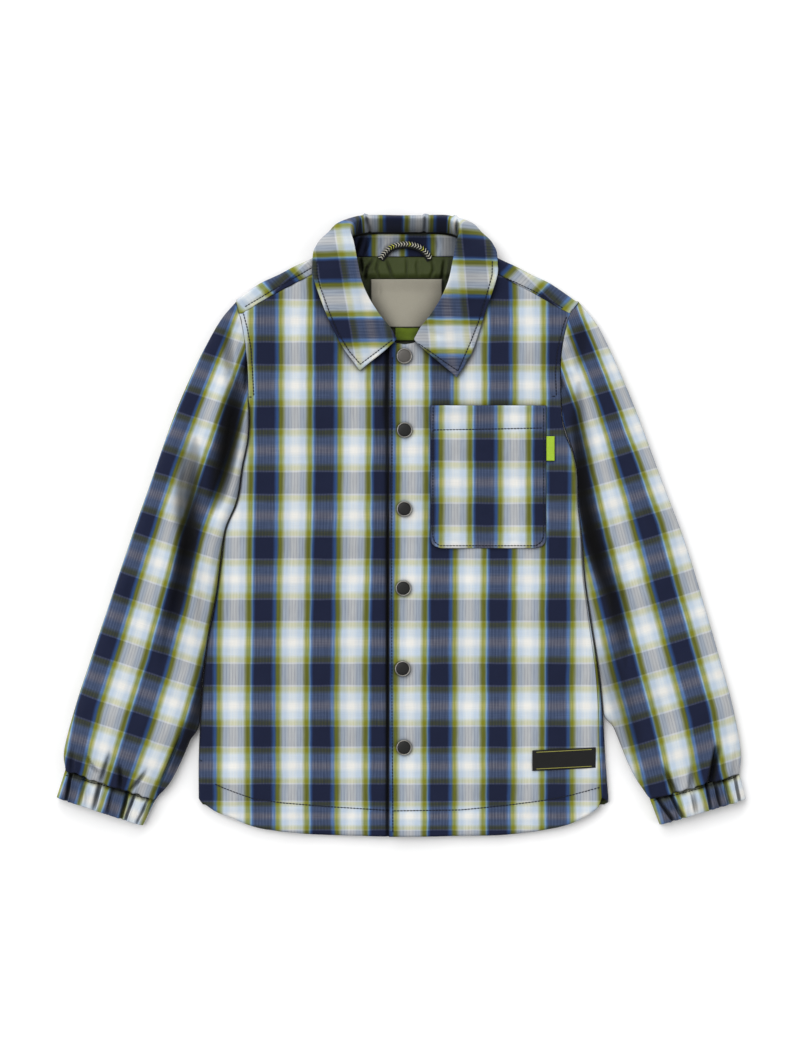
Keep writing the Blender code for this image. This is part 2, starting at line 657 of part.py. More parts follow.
def make_cuff(name, side, ends, look):
    seam, low = ends
    outside, inside = [], []
    for step in range(CUFF_ROWS + 1):
        along = step / CUFF_ROWS
        outer_x, outer_y, inner_x, inner_y = mix(np.array(seam), np.array(low), along)
        bulge = CUFF_BULGE * math.sin(math.pi * along)

        def top(share):
            pleat = CUFF_PLEAT_DEPTH * math.cos(2.0 * math.pi * CUFF_PLEATS * share)
            return CUFF_HEIGHT + bulge + pleat

        for rings, inset in ((outside, 0.0), (inside, WALL)):
            rings.append(ring_points(
                (outer_x, outer_y), (inner_x, inner_y), top, SLEEVE_EDGE_HEIGHT, CUFF_RING_STEPS, inset,
            ))
    return tube_object(name, outside, inside, look, side < 0)


# The collar and what shows in the neck

def collar_points(side, section):
    """The section's five points in the frame, with the right point's small shift."""
    lines = (COLLAR_SEAM, COLLAR_ROLL, COLLAR_FALL, COLLAR_TURN, COLLAR_EDGE)
    placed = []
    for number, line in enumerate(lines):
        x, y, z = line[section]
        toward_edge = number / (len(lines) - 1)
        toward_point = ease(POINT_FROM_Y, POINT_FULL_Y, y) * toward_edge if side > 0 else 0.0
        at_x = NECK_X + side * x + RIGHT_POINT_SHIFT[0] * toward_point
        at_y = y + RIGHT_POINT_SHIFT[1] * toward_point
        carrier_z = under_collar_z(at_x, at_y) if section >= COLLAR_ON_FRONT_FROM else 0.0
        placed.append((at_x, at_y, carrier_z + z))
    return placed


def make_collar(look):
    sections = range(len(COLLAR_SEAM))
    halves = [collar_points(-1, section) for section in sections[::-1]]
    halves += [collar_points(1, section) for section in sections[1:]]
    guides = np.array(halves)
    rows = []
    for section in guides:
        row = [through(section, i / COLLAR_SECTION_STEPS) for i in range(COLLAR_SECTION_STEPS + 1)]
        rows.append([(x, y, max(z, 0.0)) for x, y, z in row])
    return sheet_object("collar", rows, look, COLLAR_WALL, flip=True)


def sheet_on(name, corners, height, look, wall, columns, rows):
    """A flat rectangle of cloth that follows a height."""
    low_x, high_x, low_y, high_y = corners
    points = []
    for j in range(rows + 1):
        y = mix(low_y, high_y, j / rows)
        across = [mix(low_x, high_x, i / columns) for i in range(columns + 1)]
        points.append([(x, y, height(x, y) + wall) for x in across])
    return sheet_object(name, points, look, wall)


def make_facing(look):
    rows = []
    for j in range(4):
        row = []
        for i in range(11):
            beside = mix(-FACING_HALF_WIDTH, FACING_HALF_WIDTH, i / 10)
            top = min(FACING_TOP_Y, curve(BACK_NECKLINE, abs(beside)) - FACING_INSIDE_SEAM)
            x = NECK_X + beside
            y = mix(FACING_LOW_Y, top, j / 3)
            row.append((x, y, back_inside_z(x, y) + SEAM_GAP + FACING_WALL))
        rows.append(row)
    return sheet_object("neck_facing", rows, look, FACING_WALL)


def make_lining(look):
    rows = []
    for y in (*LINING_LOW_ROWS, *LIFT_ROWS, LINING_TOP_Y):
        reach = np.interp(y, [row[1] for row in FRONT_NECKLINE], [row[0] for row in FRONT_NECKLINE])
        reach = min(float(reach) + LINING_UNDER_FRONTS, LINING_HALF_WIDTH)
        across = [NECK_X + reach * (i / 4 - 1.0) for i in range(9)]
        rows.append([(x, y, back_inside_z(x, y) + SEAM_GAP + LINING_WALL) for x in across])
    return sheet_object("back_lining", rows, look, LINING_WALL)


def make_loop(look):
    data = bpy.data.curves.new("hanger_loop", "CURVE")
    data.dimensions = "3D"
    data.bevel_depth = LOOP_THICKNESS / 2
    data.bevel_resolution = 2
    data.use_fill_caps = True
    spline = data.splines.new("POLY")
    spline.points.add(LOOP_STEPS)
    for i, point in enumerate(spline.points):
        x, y, z = through(LOOP_POINTS, i / LOOP_STEPS)
        facing = back_inside_z(x, y) + SEAM_GAP + FACING_WALL
        point.co = (x, y, facing + z, 1.0)
    return add_object("hanger_loop", data, look)


# What lies on the left front

def make_pocket(look):
    rows = []
    for up in POCKET_ROWS:
        in_corner = POCKET_CORNER - min(up, POCKET_CORNER)
        inset = POCKET_CORNER - math.sqrt(POCKET_CORNER**2 - in_corner**2)
        y = POCKET_LOW_Y + up
        across = [mix(POCKET_LEFT_X + inset, POCKET_RIGHT_X - inset, i / 8) for i in range(9)]
        rows.append([(x, y, left_front_z(x, y) + ON_CLOTH_GAP + POCKET_WALL) for x in across])
    return sheet_object("pocket", rows, look, POCKET_WALL)


def on_left_front(x, y):
    return left_front_z(x, y) + ON_CLOTH_GAP


def on_lining(x, y):
    return back_inside_z(x, y) + SEAM_GAP + LINING_WALL + SEAM_GAP


def make_snap(number, x, y, look):
    mesh = bpy.data.meshes.new(f"snap_{number}")
    points = [(radius, 0.0, height) for radius, height in SNAP_PROFILE]
    mesh.from_pydata(points, [(i, i + 1) for i in range(len(points) - 1)], [])
    made = add_object(f"snap_{number}", mesh, look)
    made.location = (x, y, left_front_z(x, y) + SNAP_SEAT_GAP)
    screw = made.modifiers.new("turned", "SCREW")
    screw.steps = SNAP_STEPS
    screw.render_steps = SNAP_STEPS
    screw.use_merge_vertices = True
    screw.merge_threshold = 0.00001
    screw.use_smooth_shade = True
    return made


def clear_scene():
    for thing in list(bpy.data.objects):
        bpy.data.objects.remove(thing)


def main():
    clear_scene()
    garment = bpy.data.collections.new("shacket")
    bpy.context.scene.collection.children.link(garment)
    make_back(material("plaid back", PLAID_NAVY, 0.85))
    make_yoke(material("plaid yoke", PLAID_NAVY, 0.85))
    front_look = material("plaid fronts", PLAID_PALE, 0.85)
    make_front("front_right", -1, PLACKET_UNDER_X, right_front_z, front_look)
    make_front("front_left", 1, PLACKET_X, left_front_z, front_look)
    make_collar(material("plaid collar", PLAID_PALE, 0.85))
    make_facing(material("plaid facing", PLAID_NAVY, 0.85))
    make_lining(material("lining", LINING_GREEN, 0.55))
    sheet_on("neck_label", NECK_LABEL, on_lining, material("label", LABEL_GREIGE, 0.8), LABEL_WALL, 6, 4)
    sheet_on("size_label", SIZE_LABEL, on_lining, material("size label", LIME, 0.7), LABEL_WALL, 2, 2)
    make_loop(material("braid", BLACK, 0.8))
    sleeve_look = material("plaid sleeves", PLAID_NAVY, 0.85)
    make_sleeve("sleeve_left", -1, SLEEVE_LEFT_RINGS, LEFT_GATHERS, sleeve_look)
    make_sleeve("sleeve_right", 1, SLEEVE_RIGHT_RINGS, RIGHT_GATHERS, sleeve_look)
    cuff_look = material("plaid cuffs", PLAID_PALE, 0.85)
    make_cuff("cuff_left", -1, CUFF_LEFT_ENDS, cuff_look)
    make_cuff("cuff_right", 1, CUFF_RIGHT_ENDS, cuff_look)
    make_pocket(material("plaid pocket", PLAID_NAVY, 0.85))
    sheet_on("pocket_tab", TAB, on_left_front, material("tab", LIME, 0.7), TAB_WALL, 1, 3)
    sheet_on("hem_label", HEM_LABEL, on_left_front, material("hem label", BLACK, 0.7), HEM_LABEL_WALL, 6, 2)
    snap_look = material("snap metal", GUNMETAL, 0.35, 0.9)
    for number, (x, y) in enumerate(SNAPS, start=1):
        make_snap(number, x, y, snap_look)


main()
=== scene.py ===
# The looks of a child's plaid shacket laid flat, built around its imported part.
# Places are in metres in the part's frame: X to the right, Y from the hem to the collar, Z up.

import math

import bpy
import numpy as np
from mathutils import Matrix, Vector
from mathutils.bvhtree import BVHTree


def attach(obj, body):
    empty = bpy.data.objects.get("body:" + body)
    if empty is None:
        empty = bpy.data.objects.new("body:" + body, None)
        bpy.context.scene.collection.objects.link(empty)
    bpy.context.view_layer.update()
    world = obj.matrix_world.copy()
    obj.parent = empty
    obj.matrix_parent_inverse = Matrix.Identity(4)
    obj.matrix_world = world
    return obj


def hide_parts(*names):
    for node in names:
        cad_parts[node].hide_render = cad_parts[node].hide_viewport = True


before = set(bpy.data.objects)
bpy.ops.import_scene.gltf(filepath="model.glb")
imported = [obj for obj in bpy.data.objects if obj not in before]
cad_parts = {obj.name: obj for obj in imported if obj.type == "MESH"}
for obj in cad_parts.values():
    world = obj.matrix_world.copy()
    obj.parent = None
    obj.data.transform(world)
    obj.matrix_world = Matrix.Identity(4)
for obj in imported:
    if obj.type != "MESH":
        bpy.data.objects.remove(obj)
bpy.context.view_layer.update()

# The part's own measures
WALL = 0.0024
COLLAR_WALL = 0.0022
LINING_WALL = 0.0009
FACING_WALL = 0.001
LABEL_WALL = 0.0005
POCKET_WALL = 0.0016
SEAM_GAP = 0.0003
ARMHOLE_GAP = 0.0001
SLEEVE_SIDE_GAP = 0.0003
ON_CLOTH_GAP = 0.0004
FRONT_TOP = 0.0076
EDGE_RADIUS = FRONT_TOP / 2
EDGE_ARC = math.pi * EDGE_RADIUS
FRONT_EDGE_RUN = 0.006
UNDERARMS = {-1: 0.127, 1: 0.098}
UNDERARM_TURN = 0.014
SEAM_TURN_FROM_Y = 0.08
SEAM_TURN_LENGTH = 0.35
SEAM_TURN_ON_TOP = 0.003
YOKE_SEAM_Y = 0.2
NECK_X = 0.004
NECK_HALF_WIDTH = 0.0605
PLACKET_X = -0.0115
PLACKET_UNDER_X = 0.02
PLACKET_EASE = 0.045
PLACKET_RAISE = WALL + SEAM_GAP
COLLAR_OVER_PLACKET = (PLACKET_X - 0.01, PLACKET_X - 0.002)
COLLAR_LIFT = COLLAR_WALL + 2.0 * SEAM_GAP
LIFT_FROM_Y = 0.232
LIFT_FULL_Y = 0.25
LIFT_FULL_X = 0.088
LIFT_END_X = 0.106

# Columns: y, x of a side edge, and above the underarm of the armhole seam
LEFT_SIDE = (
    (-0.271, -0.202), (-0.233, -0.202), (-0.187, -0.2), (-0.138, -0.196),
    (-0.104, -0.191), (-0.068, -0.184), (-0.034, -0.1795), (0.0, -0.174),
    (0.02, -0.165), (0.06, -0.158), (0.085, -0.153), (0.129, -0.152),
    (0.171, -0.154), (0.211, -0.161), (0.224, -0.1645),
)
RIGHT_SIDE = (
    (-0.271, 0.207), (-0.231, 0.204), (-0.179, 0.201), (-0.149, 0.198),
    (-0.097, 0.19), (-0.057, 0.184), (-0.015, 0.1805), (0.023, 0.1765),
    (0.054, 0.1755), (0.073, 0.1715), (0.098, 0.162), (0.132, 0.159),
    (0.175, 0.16), (0.196, 0.164), (0.21, 0.168), (0.224, 0.177),
)
SIDES = {-1: LEFT_SIDE, 1: RIGHT_SIDE}
# Columns: x, y
HEM = (
    (-0.202, -0.271), (-0.192, -0.28), (-0.167, -0.292), (-0.144, -0.3005),
    (-0.123, -0.304), (-0.038, -0.309), (0.056, -0.309), (0.106, -0.3076),
    (0.144, -0.3028), (0.171, -0.296), (0.19, -0.286), (0.207, -0.271),
)
# Columns: distance from the neck's centre line, y
FRONT_NECKLINE = (
    (0.0, 0.181), (0.012, 0.184), (0.022, 0.192), (0.034, 0.206),
    (0.0465, 0.224), (0.0535, 0.243), (0.0605, 0.266),
)
BACK_NECKLINE = (
    (0.0, 0.294), (0.03, 0.294), (0.045, 0.2925), (0.052, 0.29),
    (0.057, 0.286), (0.0605, 0.28),
)
FORWARD_SEAM = (
    (0.0605, 0.266), (0.094, 0.25), (0.121, 0.236), (0.142, 0.224),
    (0.1625, 0.212),
)
SHOULDER_EDGE = (
    (0.0605, 0.284), (0.093, 0.267), (0.111, 0.259), (0.125, 0.2515),
    (0.145, 0.242), (0.16, 0.232), (0.171, 0.224),
)
# Columns: x, y, heading in degrees from +X, half length, half width, height
BODY_FOLDS = (
    (-0.118, 0.12, -52.0, 0.06, 0.011, 0.0014),
    (-0.096, 0.176, -35.0, 0.045, 0.01, 0.001),
    (-0.15, 0.01, -72.0, 0.07, 0.012, 0.0016),
    (-0.09, -0.18, 82.0, 0.09, 0.02, 0.0012),
    (-0.155, -0.23, 74.0, 0.06, 0.014, 0.0012),
    (0.118, 0.168, 38.0, 0.045, 0.011, 0.0012),
    (0.16, 0.02, 80.0, 0.06, 0.01, 0.0014),
    (0.09, -0.12, 97.0, 0.08, 0.02, 0.0012),
    (0.15, -0.17, 100.0, 0.07, 0.014, 0.0012),
)
PLACKET_DIP = (-0.017, 0.117, 90.0, 0.026, 0.004, -0.0011)
# Columns: outer x, outer y, inner x, inner y, height
SLEEVE_LEFT_RINGS = (
    (-0.165, 0.224, -0.152, 0.127, 0.0076), (-0.179, 0.207, -0.155, 0.113, 0.0105),
    (-0.193, 0.183, -0.156, 0.09, 0.013), (-0.209, 0.151, -0.159, 0.062, 0.0145),
    (-0.228, 0.106, -0.165, 0.025, 0.0152), (-0.249, 0.046, -0.178, -0.018, 0.0152),
    (-0.27, -0.014, -0.184, -0.062, 0.015), (-0.29, -0.074, -0.192, -0.108, 0.0148),
    (-0.31, -0.134, -0.1995, -0.168, 0.0148), (-0.324, -0.177, -0.208, -0.207, 0.015),
    (-0.336, -0.222, -0.228, -0.252, 0.0156), (-0.335, -0.2435, -0.245, -0.2725, 0.0136),
)
SLEEVE_RIGHT_RINGS = (
    (0.1775, 0.224, 0.161, 0.098, 0.0076), (0.193, 0.205, 0.17, 0.084, 0.0112),
    (0.206, 0.181, 0.175, 0.068, 0.0136), (0.223, 0.143, 0.176, 0.04, 0.015),
    (0.238, 0.106, 0.178, 0.015, 0.0155), (0.26, 0.046, 0.1815, -0.025, 0.0155),
    (0.282, -0.012, 0.186, -0.07, 0.0152), (0.3, -0.07, 0.1935, -0.115, 0.015),
    (0.319, -0.136, 0.201, -0.172, 0.015), (0.331, -0.18, 0.215, -0.208, 0.0152),
    (0.339, -0.224, 0.231, -0.246, 0.0156), (0.3376, -0.247, 0.248, -0.272, 0.0136),
)
SLEEVE_EDGE_HEIGHT = 0.0046
SLEEVE_TOP_ROUND = 0.012
SLEEVE_BOTTOM_ROUND = 0.004
SLEEVE_CROWN = 0.1
ARMHOLE_BOW_REACH = 0.14
ARMHOLE_FLAT_REACH = 0.1
CUFF_LEFT_ENDS = ((-0.3352, -0.2438, -0.2452, -0.2728), (-0.3436, -0.2704, -0.2575, -0.2986))
CUFF_RIGHT_ENDS = ((0.3378, -0.2473, 0.2482, -0.2723), (0.344, -0.272, 0.258, -0.2977))
CUFF_HEIGHT = 0.0128
CUFF_BULGE = 0.0016
# Lines along the collar, from the centre back to the point of the leaf.
# Columns: distance from the neck's centre line, y, height above what carries it
COLLAR_SEAM = (
    (0.0, 0.2924, 0.0066), (0.024, 0.2924, 0.0066), (0.044, 0.2912, 0.0068),
    (0.055, 0.286, 0.0075), (0.0572, 0.274, 0.009), (0.0568, 0.266, 0.0115),
    (0.055, 0.257, 0.0002), (0.0503, 0.243, 0.0002), (0.0426, 0.225, 0.0002),
    (0.0298, 0.2075, 0.0002), (0.019, 0.196, 0.0004), (0.01, 0.1885, 0.001),
)
COLLAR_ROLL = (
    (0.0, 0.304, 0.028), (0.024, 0.304, 0.028), (0.043, 0.303, 0.028),
    (0.054, 0.296, 0.028), (0.051, 0.282, 0.027), (0.049, 0.272, 0.026),
    (0.047, 0.261, 0.0142), (0.043, 0.243, 0.0135), (0.035, 0.225, 0.0115),
    (0.024, 0.208, 0.0095), (0.015, 0.197, 0.0074), (0.009, 0.185, 0.005),
)
COLLAR_FALL = (
    (0.0, 0.3088, 0.014), (0.0245, 0.3092, 0.014), (0.046, 0.3084, 0.0145),
    (0.067, 0.301, 0.015), (0.07, 0.29, 0.018), (0.07, 0.279, 0.0205),
    (0.067, 0.265, 0.0106), (0.061, 0.247, 0.0104), (0.051, 0.222, 0.009),
    (0.039, 0.199, 0.0078), (0.029, 0.186, 0.0062), (0.021, 0.174, 0.0046),
)
COLLAR_TURN = (
    (0.0, 0.303, 0.0006), (0.025, 0.303, 0.0006), (0.047, 0.302, 0.0006),
    (0.069, 0.297, 0.003), (0.08, 0.29, 0.007), (0.086, 0.2795, 0.015),
    (0.085, 0.264, 0.0048), (0.082, 0.248, 0.0046), (0.07, 0.213, 0.0042),
    (0.057, 0.1855, 0.0038), (0.048, 0.171, 0.0036), (0.038, 0.1605, 0.0034),
)
COLLAR_EDGE = (
    (0.0, 0.27, 0.0), (0.026, 0.271, 0.0), (0.047, 0.276, 0.0),
    (0.063, 0.291, 0.0002), (0.079, 0.287, 0.003), (0.09, 0.2765, 0.0125),
    (0.0922, 0.261, 0.0028), (0.0912, 0.2465, 0.0027), (0.0772, 0.208, 0.0027),
    (0.0632, 0.18, 0.0027), (0.0535, 0.166, 0.0027), (0.045, 0.1545, 0.0027),
)
COLLAR_ON_FRONT_FROM = 6
RIGHT_POINT_SHIFT = (0.0065, -0.0065)
POINT_FROM_Y = 0.225
POINT_FULL_Y = 0.155
FACING_TOP_Y = 0.2912
FACING_LOW_Y = 0.2684
FACING_HALF_WIDTH = 0.0525
FACING_INSIDE_SEAM = 0.0032
LINING_TOP_Y = 0.268
LINING_LOW_Y = 0.178
LINING_UNDER_FRONTS = 0.006
LINING_HALF_WIDTH = 0.0565
NECK_LABEL = (-0.03, 0.041, 0.1985, 0.246)
SIZE_LABEL = (-0.006, 0.018, 0.185, 0.198)
LOOP_POINTS = (
    (-0.0205, 0.2655, 0.003), (-0.0175, 0.2705, 0.0034), (-0.0125, 0.2757, 0.0042),
    (-0.006, 0.279, 0.005), (0.001, 0.2803, 0.0056), (0.008, 0.2803, 0.0056),
    (0.015, 0.2788, 0.005), (0.0215, 0.2757, 0.0042), (0.0265, 0.2705, 0.0034),
    (0.0295, 0.265, 0.003),
)
POCKET_BOX = (0.0295, 0.1445, -0.022, 0.12)
POCKET_CORNER = 0.01
TAB = (0.1449, 0.153, 0.065, 0.0894)
TAB_WALL = 0.0012
HEM_LABEL = (0.131, 0.194, -0.2425, -0.2222)
HEM_LABEL_WALL = 0.0008
HEM_LABEL_SLOPE = 0.05
SNAPS = (
    (0.0033, 0.1692), (0.0036, 0.0955), (0.0033, 0.017),
    (0.0023, -0.062), (0.0016, -0.142), (0.003, -0.2205),
)
SNAP_SEAT_GAP = 0.0005

# The cloth of the looks
SHELL = 0.0014
STEP = 0.0028
WARP_PERIOD = 0.0587
WEFT_PERIOD = 0.064
SPOT_X = 401.0
SPOT_Y = 526.0
CREASE_RIDGE = 0.16
CLOSE_STEP = 0.0007
CLOSE_COLUMNS = 10
YOKE_REACH = 0.172
YOKE_COLUMNS = 124
YOKE_STEPS = (34, 10, 10)
YOKE_CHARTS_MEET = 0.12
BACK_TURN_SPARE = 0.57


# Curves, easing and places

def ease(start, end, at):
    share = np.clip((at - start) / (end - start), 0.0, 1.0)
    return share * share * (3.0 - 2.0 * share)


def mix(a, b, share):
    return a + (b - a) * share


def curve(table, at):
    """Values at places on a smooth curve through rows of place and value."""
    places, values = np.array(table, dtype=float).T
    slopes = np.gradient(values, places)
    at = np.asarray(at, dtype=float)
    i = np.clip(np.searchsorted(places, at) - 1, 0, len(places) - 2)
    span = places[i + 1] - places[i]
    t = np.clip((at - places[i]) / span, 0.0, 1.0)
    start = (2 * t**3 - 3 * t**2 + 1) * values[i] + (t**3 - 2 * t**2 + t) * span * slopes[i]
    end = (3 * t**2 - 2 * t**3) * values[i + 1] + (t**3 - t**2) * span * slopes[i + 1]
    return start + end


def through(points, at):
    """Points on a smooth curve through points, at running from 0 to 1."""
    points = np.array(points, dtype=float)
    places = np.arange(len(points))
    place = np.asarray(at) * (len(points) - 1)
    return np.stack([curve(np.stack([places, points[:, k]], 1), place) for k in range(points.shape[1])], -1)


def spots(pairs):
    """Places on the garment from millimetres right of and below the corner of its chart."""
    pairs = np.array(pairs, dtype=float)
    return np.stack([pairs[:, 0] - SPOT_X, SPOT_Y - pairs[:, 1]], 1) / 1000.0


def near_line(line, x, y):
    """Distance from a line of places on the chart, the side of it, and the share along it."""
    line = spots(line)
    lengths = np.hypot(*np.diff(line, axis=0).T)
    starts = np.concatenate([[0.0], np.cumsum(lengths)])
    best = np.full(x.shape, 9.0)
    side = np.zeros(x.shape)
    along = np.zeros(x.shape)
    for a, b, start, length in zip(line[:-1], line[1:], starts, lengths):
        heading = (b - a) / length
        run = np.clip((x - a[0]) * heading[0] + (y - a[1]) * heading[1], 0.0, length)
        off_x = x - a[0] - heading[0] * run
        off_y = y - a[1] - heading[1] * run
        distance = np.hypot(off_x, off_y)
        closer = distance < best
        best = np.where(closer, distance, best)
        side = np.where(closer, np.sign(heading[0] * off_y - heading[1] * off_x), side)
        along = np.where(closer, start + run, along)
    return best, side, along / starts[-1]


def creases(x, y, rows):
    """Listed creases: a valley along each line, with a low ridge on both sides."""
    total = np.zeros(x.shape)
    for depth, left, right, *line in rows:
        distance, side, along = near_line(line, x, y)
        width = np.where(side > 0, left, right) / 1000.0
        taper = np.sin(math.pi * np.clip(along, 0.02, 0.98)) ** 0.6
        valley = np.exp(-((distance / width) ** 2.6))
        ridge = np.exp(-(((distance - 2.0 * width) / (0.9 * width)) ** 2))
        total += depth / 1000.0 * taper * (CREASE_RIDGE * ridge - valley)
    return total


def painted_shade_along(x, y, rows):
    """How much shade to paint into the cloth's colour along lines, from 0 to 1: how far light is kept out.
    """
    total = np.zeros(x.shape)
    for strength, left, right, *line in rows:
        distance, side, along = near_line(line, x, y)
        taper = np.sin(math.pi * np.clip(along, 0.01, 0.99)) ** 0.4
        width = np.where(side > 0, left, right) / 1000.0 * taper
        total = np.maximum(total, strength * taper * np.exp(-((distance / width) ** 3.0)))
    return total


def grooves(x, y, lines, depth=0.0006, width=0.0013):
    """Where a row of stitches pulls the cloth down."""
    total = np.zeros(x.shape)
    for line in lines:
        distance, _, _ = near_line(line, x, y)
        total = np.minimum(total, -depth * np.exp(-((distance / width) ** 2)))
    return total


def waves(x, y, seed, height, length):
    """Soft uneven waves of one size, the same on each run."""
    random = np.random.default_rng(seed)
    total = np.zeros(np.broadcast(x, y).shape)
    for _ in range(7):
        angle, phase = random.uniform(0.0, 2.0 * math.pi, 2)
        pitch = length * random.uniform(0.7, 1.6)
        total = total + np.sin((x * math.cos(angle) + y * math.sin(angle)) * 2.0 * math.pi / pitch + phase)
    return total * height / 2.6


# The lie of the cloth, as in the part

def fold(x, y, row):
    fold_x, fold_y, heading, half_length, half_width, height = row
    angle = math.radians(heading)
    along = (x - fold_x) * math.cos(angle) + (y - fold_y) * math.sin(angle)
    across = (y - fold_y) * math.cos(angle) - (x - fold_x) * math.sin(angle)
    return height * np.exp(-((along / half_length) ** 2) - (across / half_width) ** 2)


def collar_lift(x, y):
    beside = np.abs(x - NECK_X)
    return COLLAR_LIFT * ease(LIFT_FROM_Y, LIFT_FULL_Y, y) * (1.0 - ease(LIFT_FULL_X, LIFT_END_X, beside))


def front_z(x, y):
    return FRONT_TOP + collar_lift(x, y) + sum(fold(x, y, row) for row in BODY_FOLDS)


def left_front_z(x, y):
    return front_z(x, y) + PLACKET_RAISE * (1.0 - ease(PLACKET_UNDER_X, PLACKET_UNDER_X + PLACKET_EASE, x))


def right_front_z(x, y):
    return front_z(x, y) + fold(x, y, PLACKET_DIP)


def under_collar_z(x, y):
    return mix(front_z(x, y), left_front_z(x, y), ease(*COLLAR_OVER_PLACKET, x))


def back_inside_z(x, y):
    return collar_lift(x, y) + WALL


def side_x(side, y):
    return curve(SIDES[side], y)


def side_seam(side, y):
    if side < 0:
        return np.full(np.shape(y), EDGE_ARC / 2)
    turn = np.clip((SEAM_TURN_FROM_Y - y) / SEAM_TURN_LENGTH, 0.0, 1.0)
    return mix(EDGE_ARC / 2, EDGE_ARC + SEAM_TURN_ON_TOP, turn)


def side_curl(side, y):
    return ease(UNDERARMS[side], UNDERARMS[side] - UNDERARM_TURN, y)


def round_edge(run):
    angle = np.minimum(run / EDGE_RADIUS, math.pi)
    inside = EDGE_RADIUS - EDGE_RADIUS * np.sin(angle) + np.maximum(run - EDGE_ARC, 0.0)
    return inside, (1.0 - np.cos(angle)) / 2


# The charts of the check: where each piece's stripes lie, as metres of cloth from a navy band's middle

BODY_WEFT_ROWS = (
    (-0.33, -8.45), (-0.266, -7.0), (-0.21, -6.0), (-0.148, -5.0), (-0.084, -4.0), (-0.022, -3.0),
    (0.043, -2.0), (0.108, -1.0), (0.172, 0.0), (0.237, 1.0), (0.301, 2.0),
)
BODY_NAVY_X = -0.138
WARP_LEAN_LEFT = 0.0033
WARP_LEAN_RIGHT = 0.0017
POCKET_NAVY_X = 0.0835
POCKET_NAVY_Y = 0.0755
FACING_NAVY_X = 0.0165
FACING_WEFT_Y = 0.25
# Columns: run down the sleeve, navy band across it near its outer edge, the next one near its inner edge
SLEEVE_BANDS = {-1: (
    (-0.16, -0.231, -0.192), (-0.119, -0.233, -0.194), (-0.05, -0.238, -0.1953),
    (0.01, -0.2417, -0.1952), (0.076, -0.2419, -0.196), (0.141, -0.2427, -0.1911),
    (0.205, -0.2416, -0.1877), (0.268, -0.2418, -0.1872), (0.328, -0.2354, -0.1876),
), 1: (
    (-0.17, 0.223, 0.188), (-0.1226, 0.2263, 0.19), (-0.0606, 0.231, 0.193),
    (0.0054, 0.2333, 0.186), (0.0714, 0.2349, 0.18), (0.1354, 0.2334, 0.1778),
    (0.1994, 0.2322, 0.1747), (0.2644, 0.2309, 0.1731), (0.3234, 0.2241, 0.1696),
)}
# Columns: the way down a sleeve, the way across it, run to a navy row, distance between navy rows
SLEEVE_AXES = {
    -1: ((-0.31, -0.95), (0.95, -0.31), 0.205, 0.0638),
    1: ((0.2857, -0.9583), (0.9583, 0.2857), 0.1351, 0.0645),
}
CUFF_BANDS = {-1: (-0.2307, -0.1858), 1: (0.2241, 0.1744)}
CUFF_WEFT_START = 0.013


def body_chart(x, y):
    lean = mix(WARP_LEAN_LEFT, WARP_LEAN_RIGHT, ease(-0.06, 0.06, x)) * ease(-0.174, 0.096, y)
    return x - lean - BODY_NAVY_X, -curve(BODY_WEFT_ROWS, y) * WEFT_PERIOD


def sleeve_chart(side, x, y):
    down, across, navy_row, row_pitch = SLEEVE_AXES[side]
    run = x * down[0] + y * down[1]
    place = x * across[0] + y * across[1]
    bands = np.array(SLEEVE_BANDS[side])
    outer = np.interp(run, bands[:, 0], bands[:, 1])
    inner = np.interp(run, bands[:, 0], bands[:, 2])
    return (place - outer) / (inner - outer) * WARP_PERIOD, (run - navy_row) / row_pitch * WEFT_PERIOD


def cuff_chart(side, x, y):
    across = SLEEVE_AXES[side][1]
    outer, inner = CUFF_BANDS[side]
    place = x * across[0] + y * across[1]
    return (place - outer) / (inner - outer) * WARP_PERIOD


def yoke_front_chart(side, x, y):
    if side < 0:
        return (0.75 * x + 0.67 * y - 0.073) * 0.87, (0.67 * x - 0.75 * y + 0.249)
    return (0.73 * x - 0.69 * y + 0.0467) * 0.9, (-0.69 * x - 0.73 * y + 0.2563)


# Objects

def grid_object(name, points, chart, look, wrap=False, flip=False, inner_look=None, wall=SHELL,
                painted_shade=None):
    """A shell through a grid of points, with its chart as UVs. A missing point leaves its faces out."""
    rows, columns = points.shape[:2]
    across = columns + 1 if wrap else columns
    j, i = np.meshgrid(np.arange(rows - 1), np.arange(across - 1), indexing="ij")
    corners = [(j, i), (j, i + 1), (j + 1, i + 1), (j + 1, i)]
    if flip:
        corners = corners[::-1]
    numbers = np.stack([(row * columns + column % columns).ravel() for row, column in corners], 1)
    places = np.stack([(row * across + column).ravel() for row, column in corners], 1)
    flat = points.reshape(-1, 3)
    kept = ~np.isnan(flat[numbers]).any(axis=(1, 2))
    numbers, places = numbers[kept], places[kept]
    used, numbers = np.unique(numbers, return_inverse=True)
    numbers = numbers.reshape(-1, 4)
    mesh = bpy.data.meshes.new(name)
    mesh.from_pydata(flat[used].tolist(), [], numbers.tolist())
    # Points carry an amount of painted shade, which darkens the cloth's colour
    if painted_shade is not None:
        dim = mesh.attributes.new("painted_shade", "FLOAT", "POINT")
        dim.data.foreach_set("value", painted_shade.ravel()[used].astype(np.float32))
    layer = mesh.uv_layers.new(name="chart")
    layer.data.foreach_set("uv", chart.reshape(-1, 2)[places.ravel()].astype(np.float32).ravel())
    mesh.shade_smooth()
    made = add_object(name, mesh, look)
    if inner_look:
        mesh.materials.append(inner_look)
    if wall:
        solid = made.modifiers.new("wall", "SOLIDIFY")
        solid.thickness = wall
        solid.offset = -1.0
        solid.material_offset = 1 if inner_look else 0
    return made


def add_object(name, data, look):
    made = bpy.data.objects.new(name, data)
    bpy.context.scene.collection.objects.link(made)
    data.materials.append(look)
    return made


def place_piece(made, slot, *nodes):
    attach(made, "root")
    if nodes:
        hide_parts(*nodes)
    return made


def stacked(*parts):
    return np.stack(np.broadcast_arrays(*parts), -1)


# Materials

